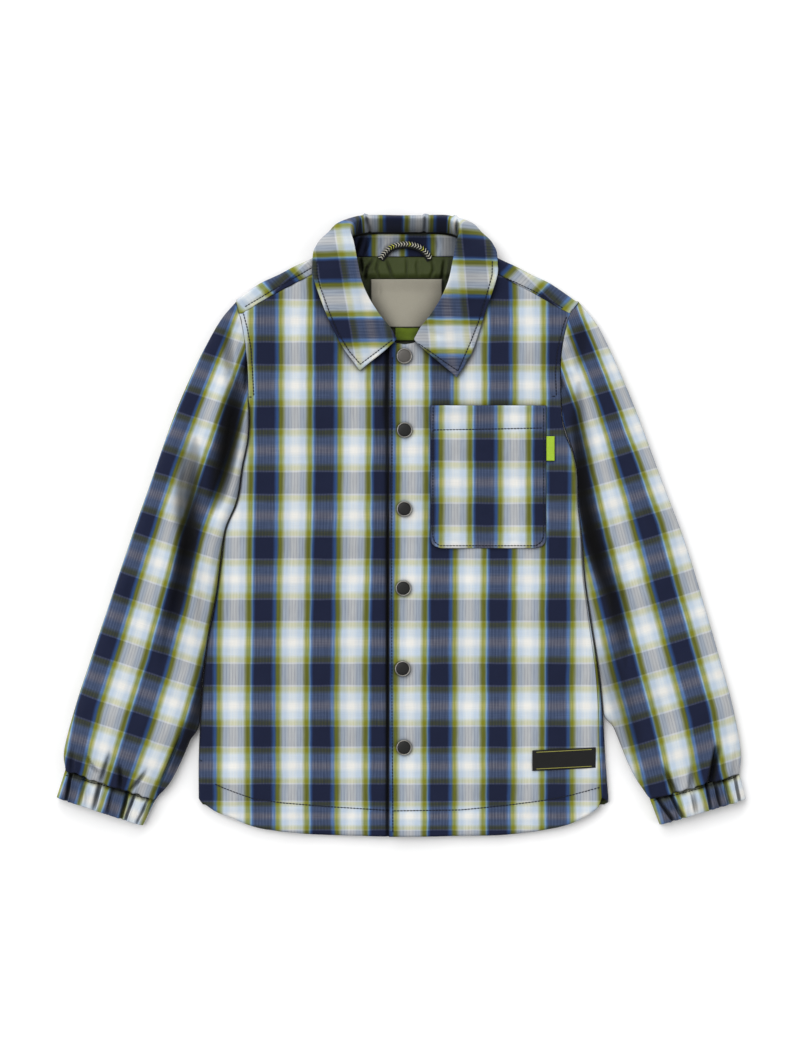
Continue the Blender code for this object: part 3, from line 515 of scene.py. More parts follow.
NAVY = (0.105, 0.128, 0.215)
BLUE_LINE = (0.2, 0.32, 0.52)
SKY_LINE = (0.42, 0.56, 0.7)
OLIVE = (0.45, 0.46, 0.12)
PALE_BLUE = (0.725, 0.765, 0.8)
CREAM = (0.845, 0.85, 0.835)
WEFT_NAVY = (0.1, 0.12, 0.205)
WEFT_LINE = (0.5, 0.51, 0.56)
WEFT_OLIVE = (0.47, 0.47, 0.16)
WEFT_BLUE = (0.59, 0.69, 0.82)
WEFT_CREAM = (0.92, 0.89, 0.86)
# Columns: share of the period, colour
WARP_STOPS = (
    (0.0, NAVY), (0.135, NAVY), (0.18, BLUE_LINE), (0.2, BLUE_LINE), (0.24, OLIVE),
    (0.268, OLIVE), (0.34, PALE_BLUE), (0.385, PALE_BLUE), (0.46, CREAM), (0.54, CREAM),
    (0.615, PALE_BLUE), (0.668, PALE_BLUE), (0.732, OLIVE), (0.77, OLIVE), (0.803, SKY_LINE),
    (0.82, BLUE_LINE), (0.86, NAVY), (1.0, NAVY),
)
WEFT_STOPS = (
    (0.0, WEFT_NAVY), (0.158, WEFT_NAVY), (0.172, WEFT_LINE), (0.184, WEFT_LINE),
    (0.2, WEFT_OLIVE), (0.245, WEFT_OLIVE), (0.31, WEFT_BLUE), (0.39, WEFT_BLUE),
    (0.47, WEFT_CREAM), (0.53, WEFT_CREAM), (0.61, WEFT_BLUE), (0.69, WEFT_BLUE),
    (0.755, WEFT_OLIVE), (0.8, WEFT_OLIVE), (0.816, WEFT_LINE), (0.828, WEFT_LINE),
    (0.842, WEFT_NAVY), (1.0, WEFT_NAVY),
)
WEFT_SHARE = 0.22
PINSTRIPE_PITCH = 0.0031
PINSTRIPE_SHARE = 0.26
THREAD_PITCH = 0.0008
YARNS_ACROSS = 1700.0
YARNS_ALONG = 45.0
BAND_WANDER = 0.0007
GOLD_LINE_INSET = 0.0018
GOLD_LINE_HALF_WIDTH = 0.00028
GOLD_LINE_END = 0.004
# Painted fold shade: how far the occlusion looks, the open share where its darkening starts and ends, and
# how dark it paints folds, gathers and the painted shade on points
FOLD_REACH = 0.022
FOLD_CLOSED = 0.34
FOLD_OPEN = 0.93
FOLD_DARKEST = 0.12
GATHER_DARKEST = 0.4
PAINTED_SHADE_DARKEST = 0.02


class Nodes:
    """A material's node tree, with short calls to add to it."""

    def __init__(self, name):
        self.material = bpy.data.materials.new(name)
        self.material.use_nodes = True
        self.tree = self.material.node_tree
        self.shader = self.tree.nodes["Principled BSDF"]

    def feed(self, socket, value):
        if isinstance(value, bpy.types.NodeSocket):
            self.tree.links.new(value, socket)
        else:
            socket.default_value = value

    def put(self, node, sockets):
        for name, value in sockets.items():
            self.feed(node.inputs[name], value)
        return node

    def add(self, kind, sockets, **values):
        node = self.tree.nodes.new(kind)
        for key, value in values.items():
            setattr(node, key, value)
        return self.put(node, sockets)

    def math(self, operation, *values):
        return self.add("ShaderNodeMath", dict(enumerate(values)), operation=operation).outputs[0]

    def times(self, a, b):
        return self.math("MULTIPLY", a, b)

    def plus(self, a, b):
        return self.math("ADD", a, b)

    def wave(self, at, pitch):
        return self.math("SINE", self.times(at, 2.0 * math.pi / pitch))

    def ramp(self, at, stops):
        node = self.add("ShaderNodeValToRGB", {0: at})
        elements = node.color_ramp.elements
        while len(elements) < len(stops):
            elements.new(0.5)
        # Twice, because moving a stop can change the order of the stops
        for _ in range(2):
            for element, (place, colour) in zip(elements, stops):
                element.position = place
                element.color = (*colour, 1.0)
        return node.outputs[0]

    def noise(self, vector, scale, detail=2.0, rough=0.5):
        sockets = {"Vector": vector, "Scale": scale, "Detail": detail, "Roughness": rough}
        return self.add("ShaderNodeTexNoise", sockets).outputs["Fac"]

    def vector(self, x, y, z=0.0):
        return self.add("ShaderNodeCombineXYZ", {0: x, 1: y, 2: z}).outputs[0]

    def blend(self, share, a, b, kind="MIX"):
        sockets = {"Factor": share, 6: a, 7: b}
        return self.add("ShaderNodeMix", sockets, data_type="RGBA", blend_type=kind).outputs[2]

    def shaded(self, colour, share):
        return self.blend(1.0, colour, self.vector(share, share, share), "MULTIPLY")

    def bump(self, height, strength, distance):
        sockets = {"Height": height, "Strength": strength, "Distance": distance}
        self.feed(self.shader.inputs["Normal"], self.add("ShaderNodeBump", sockets).outputs[0])

    def spread(self, value, low, high, start=0.0, end=1.0):
        sockets = {"Value": value, "From Min": start, "From Max": end, "To Min": low, "To Max": high}
        return self.add("ShaderNodeMapRange", sockets).outputs[0]

    def with_painted_fold_shade(self, colour, darkest=FOLD_DARKEST):
        """A colour with painted shade: darker where ambient occlusion finds folds that keep the light out,
        and darker still by the painted shade stored on the points.
        """
        open_air = self.add("ShaderNodeAmbientOcclusion", {"Distance": FOLD_REACH}, samples=12)
        fold = self.spread(open_air.outputs["AO"], darkest, 1.0, FOLD_CLOSED, FOLD_OPEN)
        # The painted shade stored on the points darkens the colour further
        painted_shade = self.add("ShaderNodeAttribute", {}, attribute_name="painted_shade").outputs["Fac"]
        return self.shaded(colour, self.times(fold, self.spread(painted_shade, 1.0, PAINTED_SHADE_DARKEST)))

    def parts(self, vector):
        return self.add("ShaderNodeSeparateXYZ", {0: vector}).outputs[:2]

    def chart(self):
        return self.parts(self.add("ShaderNodeUVMap", {}, uv_map="chart").outputs[0])

    def place(self):
        return self.add("ShaderNodeTexCoord", {}).outputs["Object"]


def plaid_material(name, darkest):
    """A yarn-dyed check: warp and weft colours run through each other as in a twill."""
    made = Nodes(name)
    u, v = made.chart()
    wander = made.spread(made.noise(made.place(), 45.0), -BAND_WANDER, BAND_WANDER)
    warp_at = made.math("FRACT", made.times(made.plus(u, wander), 1.0 / WARP_PERIOD))
    weft_at = made.math("FRACT", made.times(made.plus(v, wander), 1.0 / WEFT_PERIOD))
    stripe = made.spread(made.times(made.wave(u, PINSTRIPE_PITCH), 0.5), 0.5, 1.0)
    stripe = made.times(made.math("POWER", stripe, 3.0), PINSTRIPE_SHARE)
    warp_yarn = made.noise(made.vector(made.times(u, YARNS_ACROSS), made.times(v, YARNS_ALONG)), 1.0)
    weft_yarn = made.noise(made.vector(made.times(u, YARNS_ALONG), made.times(v, YARNS_ACROSS)), 1.0)
    share = made.plus(made.plus(stripe, WEFT_SHARE), made.spread(warp_yarn, -0.13, 0.13))
    share = made.plus(share, made.spread(weft_yarn, -0.05, 0.05))
    woven = made.blend(share, made.ramp(warp_at, WARP_STOPS), made.ramp(weft_at, WEFT_STOPS))
    soft = made.noise(made.place(), 14.0, 3.0)
    worn = made.times(made.spread(soft, 0.94, 1.06), made.spread(weft_yarn, 0.96, 1.04))
    gamma = made.add("ShaderNodeGamma", {"Color": made.shaded(woven, worn), "Gamma": 2.2})
    made.put(made.shader, {
        "Base Color": made.with_painted_fold_shade(gamma.outputs[0], darkest),
        "Roughness": 0.88,
        "Specular IOR Level": 0.18,
        "Sheen Weight": 0.04,
        "Sheen Roughness": 0.5,
    })
    over = made.wave(made.plus(u, v), THREAD_PITCH)
    under = made.wave(made.math("SUBTRACT", v, u), THREAD_PITCH * 2.0)
    weave = made.times(made.times(over, under), 0.5)
    fuzz = made.noise(made.place(), 900.0, 3.0, 0.7)
    made.bump(made.plus(weave, made.plus(fuzz, warp_yarn)), 0.35, 0.0003)
    return made.material


def cloth_material(name, colour, rough, ribs=0.0009, change=0.1, sheen=0.03, creased=0.0):
    """Plain woven or taffeta cloth in one colour, with ribs, wear and faint creasing."""
    made = Nodes(name)
    place = made.place()
    x, y = made.parts(place)
    soft = made.noise(place, 60.0, 4.0, 0.6)
    fine = made.noise(place, 1400.0, 2.0)
    worn = made.times(made.spread(soft, 1.0 - change, 1.0 + change), made.spread(fine, 0.9, 1.1))
    made.put(made.shader, {
        "Base Color": made.with_painted_fold_shade(made.shaded((*colour, 1.0), worn)),
        "Roughness": made.spread(soft, rough - 0.06, rough + 0.06),
        "Specular IOR Level": 0.25,
        "Sheen Weight": sheen,
    })
    rib = made.times(made.wave(y, ribs), made.wave(x, ribs))
    made.bump(made.plus(rib, made.times(soft, creased)), 0.4, 0.0002)
    return made.material


def snap_material(name, colour, rough, specular, metallic):
    made = Nodes(name)
    scratch = made.noise(made.place(), 1500.0, 4.0, 0.7)
    worn = tuple(0.8 * value + 0.01 for value in colour)
    made.put(made.shader, {
        "Base Color": made.blend(scratch, (*colour, 1.0), (*worn, 1.0)),
        "Roughness": made.spread(scratch, rough - 0.1, rough + 0.15),
        "Specular IOR Level": specular,
        "Metallic": metallic,
    })
    made.bump(scratch, 0.15, 0.0001)
    return made.material


def label_material():
    """A black woven label with a thin gold line along each long edge."""
    made = Nodes("black woven label")
    u, v = made.chart()
    left, right, low, high = HEM_LABEL

    def off(at, middle):
        return made.math("ABSOLUTE", made.math("SUBTRACT", at, middle))

    from_line = off(off(v, (low + high) / 2), (high - low) / 2 - GOLD_LINE_INSET)
    from_middle = off(u, (left + right) / 2)
    gold = made.times(made.math("LESS_THAN", from_line, GOLD_LINE_HALF_WIDTH),
                      made.math("LESS_THAN", from_middle, (right - left) / 2 - GOLD_LINE_END))
    fine = made.noise(made.place(), 1600.0, 2.0)
    black = made.blend(fine, (0.003, 0.003, 0.003, 1.0), (0.011, 0.011, 0.011, 1.0))
    made.put(made.shader, {
        "Base Color": made.blend(gold, black, (0.3, 0.29, 0.06, 1.0)),
        "Roughness": 0.75,
        "Specular IOR Level": 0.25,
    })
    made.bump(made.plus(made.wave(v, 0.0005), fine), 0.3, 0.0002)
    return made.material


# Two copies of the plaid that differ only in how dark they paint the shade in folds; the cuffs' copy paints
# it lighter
PLAID = plaid_material("brushed plaid", FOLD_DARKEST)
PLAID_LIGHTER_FOLD_SHADE = plaid_material("brushed plaid, gathered", GATHER_DARKEST)
LINING = cloth_material("green lining", (0.036, 0.05, 0.007), 0.45, 0.0006, 0.15, 0.02, 1.0)
GREIGE = cloth_material("greige label", (0.33, 0.31, 0.25), 0.7, 0.0007, 0.06)
LIME_DARK = cloth_material("size label", (0.115, 0.175, 0.002), 0.65, 0.0007, 0.08)
LIME = cloth_material("lime tab", (0.33, 0.5, 0.03), 0.7, 0.0008, 0.08)
BLACK_LABEL = label_material()
THREAD = cloth_material("navy thread", (0.01, 0.013, 0.028), 0.75, 0.0006, 0.2, 0.0)
BLACK_YARN = cloth_material("black yarn", (0.006, 0.007, 0.008), 0.8, 0.0006, 0.3, 0.0)
WHITE_YARN = cloth_material("white yarn", (0.78, 0.76, 0.64), 0.8, 0.0006, 0.1)
LIME_YARN = cloth_material("lime yarn", (0.72, 0.74, 0.12), 0.8, 0.0006, 0.1)
CAP = snap_material("gunmetal cap", (0.007, 0.007, 0.007), 0.45, 0.25, 0.0)
# The top snap's cap: a copy of the cap painted much lighter for a glint
CAP_WITH_PAINTED_GLINT = snap_material("gunmetal cap with painted glint", (0.09, 0.084, 0.076), 0.4, 0.35, 0.2)
RIM = snap_material("gunmetal rim", (0.33, 0.315, 0.29), 0.34, 0.5, 0.8)

# Rows of stitches, as places on the chart

HEM_STITCHES = (
    (215, 783), (225, 787.5), (237, 792), (254, 798), (282, 802), (332, 806),
    (363, 808), (393, 809.7), (460, 809), (507, 804.5), (547, 799), (572, 794),
    (600, 786.5),
)
PLACKET_STITCHES = ((392.3, 357), (392, 450), (391.6, 600), (392, 720), (393, 833))
LEFT_ARMHOLE_STITCHES = (
    (241.5, 311), (243.9, 314), (248, 330), (251.5, 350), (253, 372), (254.3, 396.5),
)
RIGHT_ARMHOLE_STITCHES = (
    (566.4, 317), (563.6, 323.8), (560, 338), (557, 351), (555, 373), (556, 396),
)
LEFT_YOKE_STITCHES = (
    (318, 266), (310.7, 269.4), (301.5, 274.7), (286.6, 282.8), (274, 290.2), (262, 297.5),
    (252, 303.4), (245, 307.6),
)
RIGHT_YOKE_STITCHES = (
    (494, 273.5), (503, 278), (516, 283.5), (533.6, 291.8), (550, 301.2), (563, 309),
)
POCKET_STITCHES = (
    (432.9, 407), (432.6, 536), (434.4, 541.8), (439.6, 545.6), (535.5, 545.6), (541.2, 541.6),
    (543.2, 536), (543.2, 407),
)
POCKET_BAND_STITCHES = ((432.6, 430.4), (543.4, 428.4))
LEFT_LEAF_STITCHES = (
    (317.4, 262), (317.4, 276), (321, 289), (329.5, 312.5), (338.5, 334), (349.5, 352),
    (360.5, 364.8), (373.5, 355.2), (386, 345.8), (393, 340.6),
)
RIGHT_LEAF_STITCHES = (
    (491.8, 262), (491.6, 276), (488, 290), (484, 304), (478.5, 322), (470, 343.5),
    (457.8, 371.6), (438, 358.2), (426.5, 350.2), (417, 344),
)
LEFT_BARS = (
    ((199.8, 759), (202.2, 760.2), (205.4, 762)),
    ((248.8, 397.4), (251, 397.4), (254.4, 397.4)),
)
RIGHT_BARS = (
    ((596.6, 759.6), (599.6, 758.6), (602.6, 757.4)),
    ((551.2, 396.6), (553.6, 396.6), (556.6, 396.6)),
)
LEFT_CUFF_STITCHES = (
    (60, 772.6), (76, 776.2), (92, 781.4), (104, 784), (121, 789.6), (138, 794.8), (152, 798.6),
)
RIGHT_CUFF_STITCHES = (
    (652, 799.6), (666, 795.8), (682, 791.8), (698, 787.4), (712, 783), (726, 778.6), (737, 775.6),
)

# Columns of the tables of creases: depth, width on the left of the line and on its right, all in
# millimetres, and the line's places on the chart
FRONT_CREASES = (
    (1.4, 1.6, 3.5, (561, 432), (567, 452), (571, 472), (573, 486)),
    (0.8, 3, 1.6, (548, 392), (556, 406), (562, 424)),
    (0.8, 3, 5, (420, 372), (433, 392), (440, 420)),
    (0.9, 2, 4.5, (250, 400), (244, 440), (240, 486)),
    (0.9, 5, 2.5, (236, 548), (232, 585), (224, 640)),
    (0.6, 4, 6, (310, 330), (316, 370), (330, 420)),
    (0.7, 4, 5, (250, 690), (254, 730), (250, 776)),
    (0.6, 5, 4, (480, 600), (486, 650), (482, 700)),
    (0.7, 4, 5, (585, 560), (582, 610), (588, 660)),
    (0.5, 4, 4, (330, 640), (326, 690), (332, 730)),
)
BACK_CREASES = (
    (1, 3, 6, (262, 420), (280, 470), (286, 540)),
    (0.9, 5, 3, (540, 400), (522, 450), (518, 520)),
    (0.8, 4, 5, (340, 560), (352, 640), (346, 730)),
    (0.8, 5, 4, (470, 540), (460, 610), (466, 700)),
    (0.7, 3, 4, (230, 620), (238, 690), (232, 760)),
    (0.7, 4, 3, (575, 640), (568, 700), (574, 770)),
)
SLEEVE_LEFT_CREASES = (
    (12.5, 9, 8, (240, 380), (233, 420), (228, 452), (221, 482), (212, 508)),
    (11.5, 9, 8, (195, 434), (187, 482), (185, 513), (190, 543), (183, 578), (172, 622)),
    (5, 6, 5, (178, 590), (170, 630), (166, 668)),
    (4.5, 3.4, 5, (230, 326), (229, 350), (231, 376), (236, 392)),
    (6, 3.4, 3, (247, 346), (245, 368), (246, 392)),
    (2.5, 6, 4, (201, 560), (204, 600), (199, 642)),
    (1.8, 5, 6, (140, 560), (128, 610), (118, 660)),
    (1.5, 6, 5, (160, 700), (152, 730), (146, 760)),
    (4.4, 1.5, 2.4, (113, 750), (107, 766), (102, 783)),
    (2.8, 1.3, 2.6, (86, 750), (92, 762), (102, 774)),
    (3.6, 2.2, 1.5, (149, 768), (138, 781), (129, 792)),
    (4.6, 2, 2, (121, 762), (122, 776), (121, 790)),
    (2.6, 2, 2.6, (76, 744), (74, 760), (73, 776)),
    (4.4, 1.2, 2, (188, 718), (179, 742), (168, 768), (155, 798)),
)
SLEEVE_RIGHT_CREASES = (
    (12.5, 10, 8.5, (575, 386), (578, 410), (581, 440), (582, 480), (586, 515), (594, 545),
     (605, 575), (615, 598), (619, 622), (622, 650)),
    (4, 3, 3.4, (560, 356), (567, 382), (573, 404)),
    (4.5, 6, 5, (583, 324), (582, 350), (578, 374)),
    (2, 6, 5, (640, 470), (650, 520), (664, 570)),
    (1.8, 5, 6, (690, 590), (700, 640), (712, 690)),
    (2.2, 4, 5, (650, 660), (655, 700), (662, 740)),
    (9.5, 3.4, 2.6, (716, 742), (712, 764), (708, 788)),
    (5.2, 2.6, 2, (661, 764), (668, 780), (675, 795)),
    (2.6, 1.8, 2.2, (690, 762), (690, 776), (688, 792)),
    (2, 2, 2.6, (735, 744), (734, 760), (732, 778)),
)
# Painted shade, where hardly any light comes in: the same columns, but with a strength from 0 to 1 for the
# depth
FRONT_PAINTED_SHADE = (
    (1, 1.4, 1.9, (388.2, 346), (388.0, 600), (388.4, 838)),
    (0.9, 3.6, 3, (387, 346), (387, 372), (386, 400), (386, 440)),
)
SLEEVE_LEFT_PAINTED_SHADE = (
    (1, 12.5, 11.5, (238, 374), (233, 405), (231, 430), (225, 460), (220, 490), (213, 512)),
    (0.95, 12, 10.5, (196, 440), (192, 483), (189, 533), (184, 575), (173, 626)),
    (0.45, 3, 5, (230, 326), (229, 350), (231, 378)),
    (0.85, 5, 8, (209, 640), (204, 680), (198, 714), (187, 742), (172, 772)),
)
SLEEVE_RIGHT_PAINTED_SHADE = (
    (1, 10, 10, (578, 384), (578, 430), (581, 459), (583, 498), (592, 537), (600, 568),
     (612, 600), (620, 630), (624, 664)),
    (0.45, 6, 7, (583, 320), (581, 345), (576, 372)),
    (0.42, 14, 12, (603, 632), (608, 662), (616, 694), (628, 728), (636, 756)),
)
CUFF_LEFT_CREASES = (
    (7.5, 1.1, 2.2, (74.5, 764), (71, 786), (67, 806)),
    (7, 1.2, 2.6, (105, 773), (100, 792), (95, 811)),
    (8.5, 1.2, 2.2, (131, 781), (127, 802), (121, 824)),
    (5, 1, 1.6, (140, 784), (132, 805), (125, 824)),
    (3.4, 1, 1.4, (153, 789), (145, 808), (135, 827)),
    (6.5, 1.1, 1.4, (157, 790), (149, 810), (140, 830)),
    (3, 1.8, 1.8, (88, 770), (84, 788), (80, 808)),
    (3, 1.8, 1.8, (117, 778), (113, 796), (108, 816)),
)
CUFF_RIGHT_CREASES = (
    (8.5, 2, 1.2, (652, 790), (663, 808), (678, 828)),
    (8, 2, 1.2, (666, 787), (675, 806), (686, 824)),
    (7, 1.8, 1.1, (704, 780), (707, 798), (710, 816)),
    (6, 1.8, 1.1, (712, 777), (716, 796), (721, 813)),
    (4, 1.8, 1.3, (722, 775), (725, 794), (730, 811)),
    (6, 1.8, 1.2, (732, 769), (735, 788), (739, 808)),
    (3.4, 2, 2, (689, 784), (693, 802), (697, 820)),
)
COLLAR_PLEATS = (
    (4.5, 1.2, 2.2, (364.5, 209), (366, 218), (371, 236)),
    (4.5, 1.4, 2, (426.5, 209), (425.5, 220), (423.5, 236)),
    (5, 1.4, 1.8, (455, 211), (455.6, 221), (458.5, 236)),
)
COLLAR_CREASES = (
    (0.8, 3, 3, (334, 236), (340, 246), (349, 254)),
    (0.7, 3, 4, (420, 330), (432, 336), (446, 338)),
    (0.6, 3, 4, (372, 322), (368, 336), (371, 350)),
)
NECK_CREASES = (
    (3, 1.4, 2, (360, 258), (361, 266), (363, 276)),
    (3.4, 1.4, 1.2, (374, 259), (366, 269), (364, 282), (370, 298)),
    (2.6, 1.2, 1.4, (386, 260), (389, 268), (394, 281)),
    (1.8, 1, 1.2, (406.6, 258), (406.8, 268), (406.6, 280)),
    (2.2, 1.4, 1.2, (379, 259), (376, 270), (381, 283)),
    (2.2, 1.4, 1.8, (445, 260), (443, 276), (441, 292)),
    (2, 1.2, 1.6, (432, 262), (434, 270), (430, 280)),
    (1.6, 1.2, 1.6, (418, 260), (417, 268), (419, 279)),
    (2.8, 1.6, 2, (361, 236), (358, 246), (355, 256)),
    (2.6, 1.4, 1.8, (370, 234), (367, 246), (362, 257)),
    (1.4, 1.4, 1.8, (381, 237), (382, 244), (380, 252)),
    (1.4, 1.4, 1.8, (436, 237), (438, 246), (437, 256)),
)
LABEL_CREASES = (
    (0.5, 1, 1.4, (381.5, 279), (381, 286), (380, 296)),
    (0.4, 1.4, 1.4, (396, 279), (396, 283), (397, 290)),
)


# The body

def front_surface(side, open_x, height, relief):
    """A front as a grid, from its open edge at the placket to the side seam, and its chart."""
    end_inset = EDGE_RADIUS + FRONT_EDGE_RUN
    low_x, low_y = HEM[0] if side < 0 else HEM[-1]
    low_end_x = low_x - side * end_inset
    top_y = FORWARD_SEAM[-1][1] - SEAM_GAP / 2
    share = np.linspace(0.0, 1.0, int(abs(SIDES[side][0][1] - open_x) / STEP))
    if side < 0:
        # Closer columns keep the gap beside the placket sharp
        close = open_x - PLACKET_X + CLOSE_STEP * np.arange(-CLOSE_COLUMNS, CLOSE_COLUMNS + 1)
        share = np.unique(np.concatenate([share, close / (open_x - low_end_x)]))
    share = share[None, :]
    up = np.linspace(0.0, 1.0, int((top_y - low_y) / STEP))[:, None]
    top = np.full(share.shape, top_y)
    for _ in range(8):
        x = mix(open_x, side_x(side, top) - side * end_inset, share)
        beside = np.abs(x - NECK_X)
        top = np.where(beside < NECK_HALF_WIDTH, curve(FRONT_NECKLINE, beside),
                       curve(FORWARD_SEAM, beside)) - SEAM_GAP / 2
    y = mix(curve(HEM, mix(open_x, low_end_x, share)), top, up)
    x = mix(open_x, side_x(side, y) - side * end_inset, share)
    z = height(x, y) + relief(x, y)
    flat = stacked(x, y, z)
    run = np.linspace(1.0, 0.0, 12)[None, 1:]
    side_y = mix(low_y, top_y, up)
    edge_y = mix(side_y, y[:, -1:], run)
    seam = side_seam(side, edge_y) + SEAM_GAP / 2
    inside, lift = round_edge(mix(seam, EDGE_ARC + FRONT_EDGE_RUN, run))
    curl = side_curl(side, edge_y)
    inside = mix((EDGE_RADIUS + FRONT_EDGE_RUN) * run, inside, curl)
    edge_x = side_x(side, edge_y) - side * inside
    lift = mix(1.0, lift, curl)
    edge_z = (height(edge_x, edge_y) + relief(edge_x, edge_y) * run) * lift
    points = np.concatenate([flat, stacked(edge_x, edge_y, edge_z)], axis=1)
    u, v = body_chart(points[..., 0], points[..., 1])
    spare = EDGE_RADIUS * (math.pi / 2 - 1.0) * (1.0 - points[..., 2] / FRONT_TOP).clip(0.0, 1.0)
    u = u + side * spare * 2.0
    return points, np.stack([u, v], -1)


def front_relief(side):
    def relief(x, y):
        lines = [HEM_STITCHES]
        lines += [PLACKET_STITCHES, RIGHT_ARMHOLE_STITCHES] if side > 0 else [LEFT_ARMHOLE_STITCHES]
        near_hem = 1.0 - ease(0.02, 0.034, y - curve(HEM, x))
        ripple = waves(x, y * 0.3, 5, 0.00035, 0.011) * near_hem
        height, width, shift = (0.0006, 0.004, 0.0) if side > 0 else (-0.0024, 0.0022, 0.0012)
        edge = height * np.exp(-(((x - PLACKET_X + shift) / width) ** 2))
        dimple = sum(-0.0005 * np.exp(-(((x - sx) ** 2 + (y - sy) ** 2) / 0.009 ** 2)) for sx, sy in SNAPS)
        return (creases(x, y, FRONT_CREASES) + grooves(x, y, lines) + ripple + edge
                + waves(x, y, 3, 0.00045, 0.06) + waves(x, y, 8, 0.00015, 0.021) + dimple)
    return relief


def make_front(name, side, open_x, height, node):
    points, chart = front_surface(side, open_x, height, front_relief(side))
    # Painted shade along the gap beside the placket
    made = grid_object(name, points, chart, PLAID, flip=side < 0, inner_look=LINING,
                       painted_shade=painted_shade_along(points[..., 0], points[..., 1], FRONT_PAINTED_SHADE))
    place_piece(made, "plaid", node)
    return made


def make_back():
    shares = np.linspace(1.0, 0.0, 10)
    up = np.linspace(0.0, 1.0, 120)[:, None]
    low = mix(HEM[0][0] + EDGE_RADIUS, HEM[-1][0] - EDGE_RADIUS, np.linspace(0.0, 1.0, 100)[None, 1:-1])
    top_y = YOKE_SEAM_Y - SEAM_GAP / 2
    y = mix(curve(HEM, low), top_y, up)
    across = mix(1.0 / 99, 98.0 / 99, (low - low[0, 0]) / (low[0, -1] - low[0, 0]))
    x = mix(side_x(-1, y) + EDGE_RADIUS, side_x(1, y) - EDGE_RADIUS, across)
    z = -creases(x, y, BACK_CREASES)
    middle = stacked(x, y, z)

    def edge(side, first_y):
        share = shares[None, :]
        side_y = mix(HEM[0][1] if side < 0 else HEM[-1][1], top_y, up)
        edge_y = mix(first_y, side_y, share)
        curl = side_curl(side, edge_y)
        inside, lift = round_edge((side_seam(side, edge_y) - SEAM_GAP / 2) * share)
        inside = mix(EDGE_RADIUS * (1.0 - share), inside, curl)
        return stacked(side_x(side, edge_y) - side * inside, edge_y, FRONT_TOP * lift * curl)

    left = edge(-1, y[:, :1])
    right = edge(1, y[:, -1:])[:, ::-1]
    points = np.concatenate([left, middle, right], axis=1)
    u, v = body_chart(points[..., 0], points[..., 1])
    turned = points[..., 2] > np.abs(z).max()
    spare = np.sign(points[..., 0]) * points[..., 2].clip(0.0, FRONT_TOP) * BACK_TURN_SPARE
    chart = np.stack([u + spare * turned, v], -1)
    made = grid_object("shell_back", points, chart, PLAID, flip=True, inner_look=LINING)
    place_piece(made, "plaid", "back")
    return made


def make_yoke():
    """Up the back, round the shoulder edges and down to the forward seams."""
    start_y = YOKE_SEAM_Y + SEAM_GAP / 2
    back_steps, turn_steps, front_steps = YOKE_STEPS
    points, chart = [], []
    shifts = {}
    for side in (-1, 1):
        x, y = NECK_X + side * YOKE_CHARTS_MEET, float(curve(SHOULDER_EDGE, YOKE_CHARTS_MEET))
        front_u, front_v = yoke_front_chart(side, x, y)
        back_u, back_v = body_chart(x, y)
        shifts[side] = (round(float(back_u - front_u) / WARP_PERIOD) * WARP_PERIOD,
                        round(float(back_v - front_v) / WEFT_PERIOD) * WEFT_PERIOD)
    for beside in np.linspace(-YOKE_REACH, YOKE_REACH, YOKE_COLUMNS):
        side = 1 if beside >= 0 else -1
        share = abs(beside) / YOKE_REACH

        def x_at(y):
            return NECK_X + (side_x(side, y) - NECK_X) * share

        start_beside = abs(float(x_at(0.25)) - NECK_X)
        shoulder = start_beside >= NECK_HALF_WIDTH
        edge_y = seam_y = YOKE_SEAM_Y
        for _ in range(8):
            edge_y = float(curve(SHOULDER_EDGE, abs(x_at(edge_y) - NECK_X)))
            seam_y = float(curve(FORWARD_SEAM, abs(x_at(seam_y) - NECK_X)))
        end_y = edge_y - EDGE_RADIUS if shoulder else float(curve(BACK_NECKLINE, start_beside))
        ys = np.linspace(start_y, end_y, back_steps)
        xs = x_at(ys)
        column = [stacked(xs, ys, collar_lift(xs, ys))]
        edge_u, edge_v = yoke_front_chart(side, x_at(edge_y), edge_y)
        back_u, back_v = body_chart(xs, ys)
        near = ease(start_y, edge_y, ys) if shoulder else np.zeros(ys.shape)
        shift, drop = shifts[side]
        marks = [stacked(mix(back_u, edge_u + shift, near), mix(back_v, edge_v + drop, near))]
        if shoulder:
            inside, lift = round_edge(EDGE_ARC * np.arange(1, turn_steps + 1) / turn_steps)
            ys = edge_y - inside
            xs = x_at(ys)
            column.append(stacked(xs, ys, FRONT_TOP * lift + collar_lift(xs, ys)))
            turn_u, turn_v = yoke_front_chart(side, xs, ys)
            marks.append(stacked(turn_u + shift, turn_v + drop))
            down = np.arange(1, front_steps + 1) / front_steps
            ys = mix(edge_y - EDGE_RADIUS, seam_y + SEAM_GAP / 2, down)
            xs = x_at(ys)
            relief = grooves(xs, ys, (LEFT_YOKE_STITCHES, RIGHT_YOKE_STITCHES))
            relief += waves(xs, ys, 11, 0.0003, 0.012)
            column.append(stacked(xs, ys, FRONT_TOP + collar_lift(xs, ys) + relief))
            front_u, front_v = yoke_front_chart(side, xs, ys)
            marks.append(stacked(front_u + shift, front_v + drop))
        else:
            column.append(np.full((turn_steps + front_steps, 3), np.nan))
            marks.append(np.zeros((turn_steps + front_steps, 2)))
        points.append(np.concatenate(column))
        chart.append(np.concatenate(marks))
    points = np.array(points).transpose(1, 0, 2)
    chart = np.array(chart).transpose(1, 0, 2)
    made = grid_object("shell_yoke", points, chart, PLAID, flip=True, inner_look=LINING)
    place_piece(made, "plaid", "yoke")
    return made


# The sleeves and cuffs

